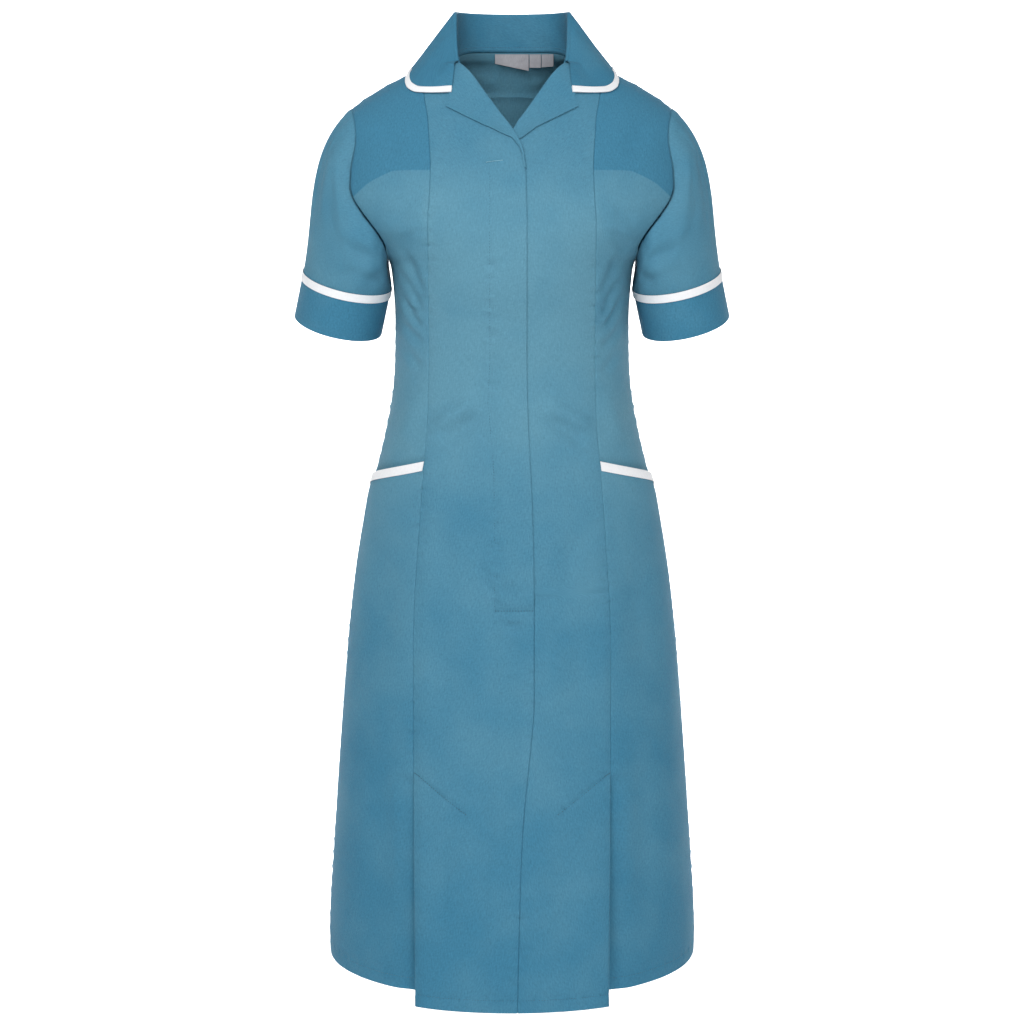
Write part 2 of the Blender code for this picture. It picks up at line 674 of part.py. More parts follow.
def make_back_yoke(name, rows=4):
    tops = yoke_half_columns()
    last = len(tops) - 1
    places = []
    for i in range(rows + 1):
        fall = (i / rows) ** 2
        half = []
        for j, (top_angle, top_height) in enumerate(tops):
            low_angle, low_height = yoke_seam(1.0 - j / last)
            if j == 0:
                station = min(i, YOKE_END_STATION)
                half.append((*armhole((ARMHOLE_STATIONS - station) % ARMHOLE_STATIONS), 0.0))
                continue
            top = body_surface(top_angle, top_height)
            low = body_surface(low_angle, low_height)
            height = mix(top_height, low_height, fall)
            x = mix(top.x, low.x, fall)
            half.append((180.0 - angle_at(x, height) if i else top_angle, height, 0.0))
        places.append(half + [(360.0 - angle, height, 0.0)
                              for angle, height, _ in reversed(half[:-1])])
    return panel_from_places(name, places, 1)


def sleeve_start(station):
    """Start of the sleeve by one armhole station and the way it leaves the seam."""
    angle, height = armhole(station % ARMHOLE_STATIONS)
    before = body_surface(*armhole((station - 1) % ARMHOLE_STATIONS))
    after = body_surface(*armhole((station + 1) % ARMHOLE_STATIONS))
    seam = body_surface(angle, height)
    normal = body_normal(angle, height)
    into_hole = normal.cross(after - before).normalized()
    low = (1.0 - math.cos(2.0 * math.pi * station / ARMHOLE_STATIONS)) / 2.0
    turn = math.radians(SLEEVE_UNDERARM_TURN) * low
    offset = into_hole * math.cos(turn / 2.0) + normal * math.sin(turn / 2.0)
    leave = into_hole * math.cos(turn) + normal * math.sin(turn)
    return seam + offset * mix(SLEEVE_START_GAP, SLEEVE_UNDERARM_GAP, low), leave


def cuff_axis():
    return CUFF_BACKWARD.cross(CUFF_ACROSS).normalized()


def sleeve_ring(above_hem, outward=0.0):
    """Points round the sleeve at a distance above the cuff's hem."""
    axis = cuff_axis()
    ring = []
    for station in range(ARMHOLE_STATIONS):
        turn = 2.0 * math.pi * station / ARMHOLE_STATIONS
        across = CUFF_ACROSS * (CUFF_HALF_WIDTH + outward) * math.cos(turn)
        forward = -CUFF_BACKWARD * (CUFF_HALF_DEPTH + outward) * math.sin(turn)
        ring.append(CUFF_CENTRE - axis * above_hem + across + forward)
    return ring


def make_tube(name, outer, wall, side, material_name="teal_poplin"):
    """Wall inside a grid of rings, each from the one above it."""
    normals = grid_normals(outer, wrap=True)
    centre = sum((p for line in outer for p in line), Vector()) / (len(outer) * len(outer[0]))
    outside = normals[0][0].dot(outer[0][0] - centre)
    turn = 1.0 if outside > 0.0 else -1.0
    inner = [[p - normals[i][j] * (wall * turn) for j, p in enumerate(line)]
             for i, line in enumerate(outer)]
    if side < 0:
        outer = [[mirrored(p) for p in line] for line in outer]
        inner = [[mirrored(p) for p in line] for line in inner]
    return make_wall(name, outer, inner, material_name, wrap=True)


def make_sleeve(name, side, rows=7):
    end = sleeve_ring(CUFF_DEPTH)
    axis = cuff_axis()
    grid = [[] for _ in range(rows + 1)]
    for station in range(ARMHOLE_STATIONS):
        start, leave = sleeve_start(station)
        reach = (start - end[station]).length
        low = (1.0 - math.cos(2.0 * math.pi * station / ARMHOLE_STATIONS)) / 2.0
        push = reach * mix(SLEEVE_CAP_REACH, SLEEVE_UNDERARM_REACH, low)
        for i in range(rows + 1):
            t = (i / rows) ** SLEEVE_ROW_CURVE
            point = (start * (2 * t ** 3 - 3 * t ** 2 + 1)
                     + leave * (push * (t ** 3 - 2 * t ** 2 + t))
                     + end[station] * (3 * t ** 2 - 2 * t ** 3)
                     + axis * (reach * SLEEVE_CUFF_REACH * (t ** 3 - t ** 2)))
            grid[i].append(point)
    grid[-1] = [p - axis * SLEEVE_END_GAP for p in end]
    return make_tube(name, grid, WALL, side)


def make_cuff(name, side):
    grid = [sleeve_ring(CUFF_DEPTH * (1.0 - t)) for t in (0.0, 0.5, 1.0)]
    return make_tube(name, grid, CUFF_WALL, side)


def make_sleeve_trim(name, side):
    lift = LAYER_GAP + TAPE_WALL
    grid = [sleeve_ring(above, lift) for above in (CUFF_DEPTH, CUFF_DEPTH - SLEEVE_TAPE_WIDTH)]
    return make_tube(name, grid, TAPE_WALL, side, "white_tape")


def collar_tangent(station):
    """Direction of the collar's fold line at a station."""
    folds = [Vector((row.fold_x, row.fold_y, row.fold_z)) for row in COLLAR_ROWS]
    start = folds[max(station - 1, 0)]
    end = folds[min(station + 1, len(folds) - 1)]
    if station == 0:
        start = mirrored(end)
    return (end - start).normalized()


def collar_profile(station):
    """Points from the neck seam up the stand, over the fold and down the fall."""
    row = COLLAR_ROWS[station]
    radius = row.roll_radius
    seam = body_point(row.seam_angle, row.seam_height, -WALL / 2.0)
    seam += Vector((0.0, 0.0, COLLAR_SEAM_RISE))
    fold = Vector((row.fold_x, row.fold_y, row.fold_z))
    edge = body_point(row.edge_angle, row.edge_height, row.edge_lift)
    tangent = collar_tangent(station)

    def across(vector):
        return (vector - tangent * vector.dot(tangent)).normalized()

    crest = -(across(seam - fold) + across(edge - fold)).normalized()
    outward = tangent.cross(crest).normalized()
    if outward.dot(edge - seam) < 0.0:
        outward = -outward
    turns = [math.radians(turn) for turn in FOLD_TURNS]
    arc = [fold - outward * (radius * math.cos(turn)) - crest * (radius * (1.0 - math.sin(turn)))
           for turn in turns]
    stand = [seam.lerp(arc[0], t) for t in STAND_STEPS]
    length = (edge - arc[-1]).length
    binding = 1.0 - COLLAR_BINDING_WIDTH / length
    steps = [step * binding for step in FALL_STEPS] + [binding, 1.0]
    fall = [clear_of_body(arc[-1].lerp(edge, t), row.edge_lift) for t in steps]
    return stand + arc + fall


def collar_grid():
    """Profiles from the wearer's right front end round the back to the left."""
    left = [collar_profile(station) for station in range(len(COLLAR_ROWS))]
    right = [[mirrored(p) for p in profile] for profile in reversed(left[1:])]
    return right + left


def make_collar(name):
    profiles = [profile[:-1] for profile in collar_grid()]
    return wall_from_middle(name, profiles, WALL)


def make_collar_binding(name):
    strip = [[profile[-2].lerp(profile[-1], COLLAR_BINDING_GAP_SHARE), profile[-1]]
             for profile in collar_grid()]
    return wall_from_middle(name, strip, BINDING_WALL, "white_tape")


def make_facing(name, side):
    """Front facing that rolls over the edge of the neck opening as the lapel."""
    ends = LAPEL_END_OVER if side < 0 else LAPEL_END_UNDER
    middle = []
    for roll_row, edge_x, edge_height in LAPEL_ROWS + ends:
        above, below = [Vector((row.edge_x, row.edge_height))
                        for row in TOP_ROWS[int(roll_row):int(roll_row) + 2]]
        share = roll_row - int(roll_row)
        roll_x, roll_height = above.lerp(below, share)
        roll_angle = angle_at(roll_x, roll_height)
        edge_angle = angle_at(edge_x, edge_height)
        roll = body_surface(angle_at(*above), above.y).lerp(
            body_surface(angle_at(*below), below.y), share)
        edge = body_surface(edge_angle, edge_height)
        normal = body_normal(roll_angle, roll_height)
        into_neck = roll - edge
        into_neck = (into_neck - normal * into_neck.dot(normal)).normalized()
        lift = placket_raise(roll.x, roll_height) if side < 0 else 0.0
        start = lift - WALL / 2.0
        line = []
        for turn in FOLD_TURNS:
            swing = math.radians(turn)
            away = LAPEL_SEAM_GAP + LAPEL_ROLL_RADIUS * math.sin(swing)
            over = start + LAPEL_ROLL_RADIUS * (1.0 - math.cos(swing))
            line.append(roll + into_neck * away + normal * over)
        crest = start + 2.0 * LAPEL_ROLL_RADIUS
        for t in LAPEL_STEPS:
            angle = mix(roll_angle, edge_angle, t)
            height = mix(roll_height, edge_height, t)
            under = placket_raise(body_surface(angle, height).x, height) if side < 0 else 0.0
            line.append(body_point(angle, height, mix(crest, under + LAPEL_EDGE_LIFT, t)))
        middle.append(line)
    return wall_from_middle(name, middle, WALL, side=side)


def make_tab(name, left_x, right_x, left_length, right_length, columns=3):
    """Blank label or tab that hangs from the neck seam inside the back."""
    middle = [[], []]
    seam_height = COLLAR_ROWS[0].seam_height
    for j in range(columns + 1):
        t = j / columns
        x = mix(left_x, right_x, t)
        length = mix(left_length, right_length, t)
        angle = 180.0 - angle_at(x, seam_height)
        away = body_normal(angle, seam_height) * TAB_STANDOFF
        top = body_surface(angle, seam_height) - Vector((away.x, away.y, TAB_TOP_DROP))
        middle[0].append(top)
        middle[1].append(top + Vector((0.0, TAB_TILT * length, -length)))
    return wall_from_middle(name, middle, TAPE_WALL, "grey_label")


def build_dress():
    for side, word in ((-1, "right"), (1, "left")):
        make_front("front_" + word, side)
        make_facing("facing_" + word, side)
        make_side_front("side_front_" + word, side)
        make_side_skirt("side_skirt_" + word, side)
        make_pocket_trim("pocket_trim_" + word, side)
        make_kick_pleat("kick_pleat_" + word, side)
        make_sleeve("sleeve_" + word, side)
        make_cuff("cuff_" + word, side)
        make_sleeve_trim("sleeve_trim_" + word, side)
    make_back_yoke("back_yoke")
    make_back("back")
    make_collar("collar")
    make_collar_binding("collar_binding")
    for name, left_x, right_x, left_length, right_length in TAB_ROWS:
        make_tab(name, left_x, right_x, left_length, right_length)


build_dress()
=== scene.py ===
"""Looks of a nurse uniform dress, filled out with no wearer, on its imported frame.

Metres, +Z up. The front faces -Y and the wearer's left is +X. Angles run round the body in
degrees: 0 at the centre front, 90 at the wearer's left side seam, 180 at the centre back.
Grids of points are numpy arrays of rows, columns and x, y, z. Half pieces are worked out on
the wearer's left and mirrored for the right.
"""
import math
from collections import namedtuple

import bpy
import numpy as np
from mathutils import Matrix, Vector


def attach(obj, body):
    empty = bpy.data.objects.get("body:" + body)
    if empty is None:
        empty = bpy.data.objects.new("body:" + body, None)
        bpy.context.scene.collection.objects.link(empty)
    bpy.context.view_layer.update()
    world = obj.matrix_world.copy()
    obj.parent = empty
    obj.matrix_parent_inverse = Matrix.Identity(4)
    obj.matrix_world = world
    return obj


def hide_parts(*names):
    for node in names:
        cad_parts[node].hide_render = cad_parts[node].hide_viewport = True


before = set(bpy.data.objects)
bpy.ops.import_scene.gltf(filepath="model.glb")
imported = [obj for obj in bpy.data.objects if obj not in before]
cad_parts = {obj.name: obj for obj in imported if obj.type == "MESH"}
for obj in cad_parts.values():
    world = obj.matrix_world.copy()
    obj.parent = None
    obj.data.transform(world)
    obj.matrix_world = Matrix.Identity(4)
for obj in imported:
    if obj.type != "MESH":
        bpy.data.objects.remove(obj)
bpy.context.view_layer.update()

# Camera of the photo: its picture is 1024 pixels wide
CAMERA_PLACE = (0.0, -3.05, 0.0)
CAMERA_PITCH_DOWN = 9.5
FOCAL_PIXELS = 2700.0
PICTURE_PIXELS = 1024.0
SENSOR_WIDTH = 36.0

# Studio: light name, place, aim, size and power
FLOOR_HEIGHT = -1.35
BACKDROP_REACH = 7.5
BACKDROP_SWEEP = 2.0
BACKDROP_TOP = 5.0
BACKDROP_HALF_WIDTH = 7.0
BACKDROP_WHITE = 0.93
BACKDROP_ROUGHNESS = 0.9
WORLD_STRENGTH = 0.45
LIGHT_ROWS = (
    ("key", (-0.75, -2.2, 1.7), (0.0, 0.0, -0.35), (1.1, 1.0), 48.0),
    ("fill", (0.55, -3.3, 0.45), (0.0, 0.0, -0.5), (1.0, 1.2), 43.0),
    ("floor", (0.0, 1.2, 1.3), (0.0, 3.0, -0.2), (4.5, 0.8), 170.0),
    ("backdrop", (0.0, 1.9, 1.2), (0.0, 6.0, -0.9), (6.0, 1.0), 600.0),
    ("behind", (0.0, 2.6, 0.6), (0.0, 0.0, -0.5), (2.0, 1.2), 9.0),
)

# Colours
TEAL_DARK = (0.0370, 0.166, 0.268)
# The paler teal is the cloth's teal with painted light and a painted highlight of the upper lights in it
TEAL_PAINTED_LIT = (0.092, 0.240, 0.326)
# The teal thread is darker than the cloth, partly a painted shadow along the stitched lines
TEAL_THREAD_AND_SHADOW = (0.022, 0.090, 0.140)
# The buttonhole's paler thread also carries a painted highlight on the top of its stitches
PALE_THREAD_AND_HIGHLIGHT = (0.150, 0.340, 0.430)
WHITE = (0.80, 0.81, 0.83)
WHITE_THREAD = (0.82, 0.83, 0.84)
GREY = (0.31, 0.31, 0.335)
SHADE_KEEP = 0.12
# Painted light added on the inner faces of the cloth, which the lights hardly reach
INNER_PAINTED_LIGHT = 0.45
SHADE_LINE_SOFTNESS = 0.0008

# Cloth and seams
WALL = 0.0012
SHELL = 0.0009
TAPE_WALL = 0.0008
LAYER_GAP = 0.0004
SEAM_ROLL = 0.0011
GRID = 0.0026
COARSE_GRID = 0.0038
FINE_GRID = 0.0016
HEM_HEIGHT = -1.031
CENTRE_HEM_HEIGHT = -1.0415
SIDE_HEM_HEIGHT = -1.027
SHOULDER_POINT_HEIGHT = -0.053
UNDERARM_HEIGHT = -0.222
ARMHOLE_STATIONS = 20
YOKE_END_STATION = 3
YOKE_CENTRE_HEIGHT = -0.0415
YOKE_SHOULDER_STEPS = (0.0, 0.33, 0.66, 0.887, 1.0)
BACK_LEVEL_HEIGHT = -0.353
BACK_ROW_CURVE = 1.4
TURN_STEP = 1.0
HEIGHT_STEP = 0.001

# Fly front
PLACKET_RAISE = 0.0020
PLACKET_FULL_X = 0.020
PLACKET_FLAT_X = 0.034
FLY_END_HEIGHT = -0.586
FLY_BLEND_HEIGHT = -0.600
STAND_FIRST_ROW = 6

# Kick pleats
PLEAT_TOP_HEIGHT = -0.784
PLEAT_FULL_HEIGHT = -0.796
PLEAT_STAND = 0.020
PLEAT_STAND_CURVE = 1.15
PLEAT_DIP = 0.0044
PLEAT_DIP_WIDTH = 0.024
PLEAT_DEPTH = 0.058
PLEAT_SLANT = 0.036
PLEAT_TOP_DROP = 0.004
PLEAT_HEM_RISE = 0.003
PLEAT_FOLD_RADIUS = 0.0010
PLEAT_FOLD_OPENING = 0.10

# Pocket mouths
POCKET_MOUTH_DROP = 0.0297
POCKET_LAP_DIP = 0.0018
POCKET_STAND = 0.0045
POCKET_STAND_DEPTH = 0.070
POCKET_STAND_CURVE = 1.7
POCKET_TAPE_WIDTH = 0.0105

# Sleeves
CUFF_DEPTH = 0.0545
CUFF_WALL = 0.0014
SLEEVE_TAPE_WIDTH = 0.0094
CUFF_CENTRE = np.array((0.1966, -0.003, -0.2952))
CUFF_ACROSS = np.array((0.976, 0.0, 0.217))
CUFF_BACKWARD = np.array((0.0, 0.986, 0.168))
CUFF_HALF_WIDTH = 0.0504
CUFF_HALF_DEPTH = 0.0580
SLEEVE_START_GAP = 0.0003
SLEEVE_UNDERARM_GAP = 0.0018
SLEEVE_CAP_REACH = 1.00
SLEEVE_UNDERARM_REACH = 0.62
SLEEVE_UNDERARM_TURN = 130.0
SLEEVE_CUFF_REACH = 0.90
SLEEVE_ROW_CURVE = 1.15
SLEEVE_TUCK_LENGTH = 0.0022
SLEEVE_TUCK_DEPTH = 0.0016

# Collar
COLLAR_BINDING_WIDTH = 0.0065
COLLAR_UNDER_BINDING = 0.7
COLLAR_FALL_SWELL = 0.0012
COLLAR_STAND_CREASE = 0.0010
COLLAR_CREASE_HALF_WIDTH = 0.006
COLLAR_STAND_WAVE = 0.0007
COLLAR_FALL_WAVE = 0.0005
COLLAR_WAVE_REACH = 0.34
COLLAR_SEAM_RISE = 0.0010
BINDING_LIFT = 0.0010
BINDING_WALL = 0.0004
LAPEL_ROLL_RADIUS = 0.0013
LAPEL_TOP_ROLL = 0.30
LAPEL_TOP_ROWS = 0.9
LAPEL_LOW_ROLL = 0.30
LAPEL_LOW_ROWS = 1.1
LAPEL_EDGE_LIFT = 0.0017
LAPEL_SEAM_GAP = 0.0008

# Half width of the dress at each height, past the armholes too
WIDTH_COLUMNS = ("height", "half_width")
WIDTH_ROWS = (
    (0.012, 0.0600), (0.000, 0.0640), (-0.006, 0.0900), (-0.013, 0.1100), (-0.0226, 0.1295),
    (-0.0305, 0.1445), (-0.038, 0.1570), (-0.0436, 0.1655), (-0.053, 0.1785), (-0.060, 0.1870),
    (-0.072, 0.1950), (-0.090, 0.1985), (-0.107, 0.2000), (-0.142, 0.2010), (-0.155, 0.1980),
    (-0.168, 0.1900), (-0.182, 0.1780), (-0.195, 0.1620), (-0.211, 0.1470), (-0.222, 0.1385),
    (-0.235, 0.1355), (-0.260, 0.1332), (-0.285, 0.1320), (-0.320, 0.1323), (-0.353, 0.1336),
    (-0.387, 0.1382), (-0.421, 0.1450), (-0.456, 0.1536), (-0.491, 0.1642), (-0.543, 0.1744),
    (-0.613, 0.1840), (-0.684, 0.1913), (-0.755, 0.1973), (-0.827, 0.2027), (-0.899, 0.2078),
    (-0.972, 0.2128), (-1.009, 0.2140), (-1.040, 0.2132),
)

# Depth in front of and behind the side seams, and how square each section is
DEPTH_COLUMNS = ("height", "front", "back", "squareness")
DEPTH_ROWS = (
    (0.012, 0.055, 0.0675, 2.0), (0.000, 0.056, 0.072, 2.0), (-0.010, 0.055, 0.077, 2.0),
    (-0.020, 0.058, 0.082, 2.0), (-0.035, 0.066, 0.089, 2.0), (-0.053, 0.077, 0.096, 2.0),
    (-0.078, 0.092, 0.103, 2.0), (-0.110, 0.110, 0.108, 2.05), (-0.150, 0.127, 0.110, 2.1),
    (-0.190, 0.136, 0.108, 2.1), (-0.230, 0.133, 0.103, 2.15), (-0.285, 0.118, 0.094, 2.2),
    (-0.353, 0.108, 0.088, 2.2), (-0.410, 0.112, 0.096, 2.2), (-0.473, 0.120, 0.112, 2.15),
    (-0.566, 0.129, 0.128, 2.1), (-0.684, 0.139, 0.137, 2.1), (-0.827, 0.152, 0.150, 2.1),
    (-1.040, 0.171, 0.170, 2.1),
)

# Armhole seam seen from the front and from behind
ARMHOLE_COLUMNS = ("height", "front_x", "back_x")
ARMHOLE_ROWS = (
    (-0.053, 0.1785, 0.1785), (-0.060, 0.1765, 0.1775), (-0.072, 0.1735, 0.1755),
    (-0.088, 0.1725, 0.1745), (-0.104, 0.1750, 0.1745), (-0.120, 0.1775, 0.1745),
    (-0.137, 0.1780, 0.1740), (-0.150, 0.1745, 0.1720), (-0.163, 0.1660, 0.1660),
    (-0.176, 0.1560, 0.1570), (-0.190, 0.1455, 0.1480), (-0.204, 0.1390, 0.1410),
    (-0.214, 0.1370, 0.1380), (-0.222, 0.1385, 0.1385),
)

# Princess seam between the centre front and the side front
PRINCESS_COLUMNS = ("height", "x")
PRINCESS_ROWS = (
    (-0.0085, 0.0975), (-0.037, 0.0965), (-0.061, 0.0922), (-0.086, 0.0903), (-0.110, 0.0887),
    (-0.147, 0.0897), (-0.172, 0.0914), (-0.316, 0.0917), (-0.400, 0.0945), (-0.438, 0.0974),
    (-0.475, 0.1004), (-0.539, 0.1048), (-0.600, 0.1085), (-0.645, 0.1097), (-0.784, 0.1103),
    (-1.040, 0.1098),
)

# Rows of the centre fronts from the shoulder seam down: inner edge, then princess seam
TopRow = namedtuple("TopRow", ("edge_x", "edge_height", "princess_height"))
TOP_ROWS = tuple(TopRow(*row) for row in (
    (0.0640, 0.0000, -0.0085), (0.0632, -0.0010, -0.0125), (0.0590, -0.0030, -0.0190),
    (0.0461, -0.0161, -0.0340), (0.0295, -0.0386, -0.0560), (0.0130, -0.0609, -0.0770),
    (0.0035, -0.0723, -0.0960), (-0.0098, -0.0950, -0.1180), (-0.0150, -0.1180, -0.1410),
))

# Rows of the bodice: height on the princess seam, then on the side seam where a row ends
# there and not in the armhole
BODICE_ROWS = (
    (-0.165, None), (-0.190, None), (-0.212, -0.236), (-0.235, -0.252), (-0.262, -0.270),
    (-0.290, -0.290), (-0.320, -0.320), (-0.353, -0.353), (-0.387, -0.387), (-0.4243, -0.4540),
    (-0.4363, -0.4660),
)
BODICE_HIDDEN_ROWS = ((-0.448, -0.478), (-0.463, -0.492))

# Rows of the skirt: height on the princess seam, then on the side seam. They slant at the
# pocket mouth and are level lower down.
SKIRT_ROWS = (
    (-0.4383, -0.4680), (-0.470, -0.492), (-0.515, -0.526), (-0.572, -0.572), (-0.586, -0.586),
    (-0.600, -0.600), (-0.645, -0.645), (-0.700, -0.700), (-0.745, -0.745), (-0.784, -0.784),
    (-0.796, -0.796), (-0.830, -0.830), (-0.880, -0.880), (-0.930, -0.930), (-0.980, -0.980),
    (HEM_HEIGHT, SIDE_HEM_HEIGHT),
)

# Inner edge of the centre fronts below the lapels, as x on the wearer's left
EDGE_COLUMNS = ("height", "x")
EDGE_ROWS = (
    (-0.118, 0.0150), (-0.127, 0.0162), (-0.323, 0.0164), (-0.392, 0.0180), (-0.436, 0.0202),
    (-0.480, 0.0224), (-0.526, 0.0237), (-0.600, 0.0248), (-0.700, 0.0248), (-0.753, 0.0210),
    (-0.806, 0.0155), (-0.860, 0.0111), (-0.970, 0.0078), (-1.040, 0.0060),
)

# How far the button stand reaches past the centre under the fly
STAND_COLUMNS = ("height", "reach")
STAND_ROWS = ((-0.072, -0.0035), (-0.095, 0.0085), (-0.118, 0.0150), (-0.572, 0.0150))

# Lapels: place on the roll line, counted in rows of the centre front, then the x and the
# height of the outer edge
LAPEL_ROWS = (
    (2.05, 0.0690, -0.0070), (2.20, 0.0700, -0.0120), (2.60, 0.0700, -0.0260),
    (3.00, 0.0685, -0.0390), (3.45, 0.0720, -0.0504), (4.00, 0.0540, -0.0590),
    (4.50, 0.0380, -0.0665), (5.00, 0.0265, -0.0720),
)
LAPEL_END_OVER = (
    (5.90, 0.0120, -0.0792), (6.55, 0.0000, -0.0842), (7.00, -0.0080, -0.0940),
    (7.40, -0.0117, -0.1040), (7.90, -0.0142, -0.1155),
)
LAPEL_END_UNDER = ((5.85, 0.0112, -0.0830), (6.40, 0.0030, -0.0875))

# Collar stations from the centre back to the front end. The seam and the edge lie on the
# body at an angle and height, and the fold stands free.
CollarRow = namedtuple("CollarRow", (
    "seam_angle", "seam_height", "fold_x", "fold_y", "fold_z",
    "edge_angle", "edge_height", "edge_lift", "roll_radius"))
COLLAR_ROWS = tuple(CollarRow(*row) for row in (
    (180.0, 0.0080, 0.0000, 0.0760, 0.0507, 180.0, -0.0120, 0.0020, 0.0026),
    (160.0, 0.0080, 0.0225, 0.0735, 0.0510, 164.0, -0.0135, 0.0020, 0.0026),
    (140.0, 0.0080, 0.0430, 0.0640, 0.0516, 146.0, -0.0165, 0.0020, 0.0026),
    (121.0, 0.0066, 0.0565, 0.0460, 0.0524, 128.0, -0.0190, 0.0020, 0.0024),
    (104.0, 0.0034, 0.0622, 0.0230, 0.0528, 110.0, -0.0165, 0.0020, 0.0022),
    (90.0, 0.0000, 0.0628, 0.0030, 0.0505, 92.0, -0.0148, 0.0020, 0.0021),
    (82.0, -0.0002, 0.0626, -0.0060, 0.0405, 76.0, -0.0165, 0.0020, 0.0020),
    (78.0, -0.0004, 0.0623, -0.0105, 0.0350, 66.5, -0.0212, 0.0020, 0.0019),
    (74.0, -0.0006, 0.0620, -0.0150, 0.0290, 58.2, -0.0262, 0.0020, 0.0018),
    (67.0, -0.0010, 0.0616, -0.0215, 0.0200, 50.4, -0.0314, 0.0020, 0.0018),
    (60.0, -0.0016, 0.0610, -0.0285, 0.0105, 43.0, -0.0348, 0.0022, 0.0016),
    (53.0, -0.0025, 0.0602, -0.0350, 0.0020, 34.5, -0.0356, 0.0028, 0.0014),
    (50.0, -0.0030, 0.0597, -0.0375, -0.0005, 25.6, -0.0350, 0.0032, 0.0012),
))

# Neck label and size tabs, blank, sewn into the neck seam: name, x of both sides and the
# length of both sides
TAB_ROWS = (
    ("label", -0.0203, 0.0200, 0.0105, 0.0185),
    ("size_tab_inner", 0.0210, 0.0345, 0.0150, 0.0150),
    ("size_tab_outer", 0.0355, 0.0490, 0.0145, 0.0135),
)
TAB_STANDOFF = 0.0029
TAB_TOP_DROP = 0.0015
TAB_TILT = 0.10

# Painted light down the centre panels and down the sides, from 0 to 1: how far the cloth
# takes the paler teal, highest on the bodice and the waist where the upper lights fall, and
# darker towards the hem
PAINTED_LIGHT_COLUMNS = ("height", "centre", "side")
PAINTED_LIGHT_ROWS = (
    (0.010, 0.45, 0.45), (-0.075, 0.45, 0.50), (-0.125, 0.65, 0.60), (-0.150, 0.88, 0.65),
    (-0.213, 0.98, 0.70), (-0.290, 1.00, 0.70), (-0.350, 0.98, 0.85), (-0.390, 0.92, 0.98),
    (-0.440, 0.70, 0.90), (-0.500, 0.45, 0.55), (-0.590, 0.38, 0.42), (-0.700, 0.33, 0.25),
    (-0.810, 0.30, 0.18), (-0.930, 0.15, 0.08), (-1.040, 0.06, 0.02),
)
# Painted light of whole pieces, from 0 to 1
SLEEVE_PAINTED_LIGHT = 0.50
CUFF_PAINTED_LIGHT = 0.03
LAPEL_PAINTED_LIGHT = 0.42
COLLAR_PAINTED_LIGHT = 0.03

# Lower edge of the darker tone at each shoulder, from the princess seam to the armhole, as x
# on the wearer's right and height
SHADE_LINE_ROWS = (
    (-0.080, -0.1172), (-0.0889, -0.1174), (-0.120, -0.1180), (-0.1307, -0.1191),
    (-0.1407, -0.1236), (-0.1510, -0.1288), (-0.1587, -0.1337), (-0.1749, -0.1484),
    (-0.200, -0.1700),
)

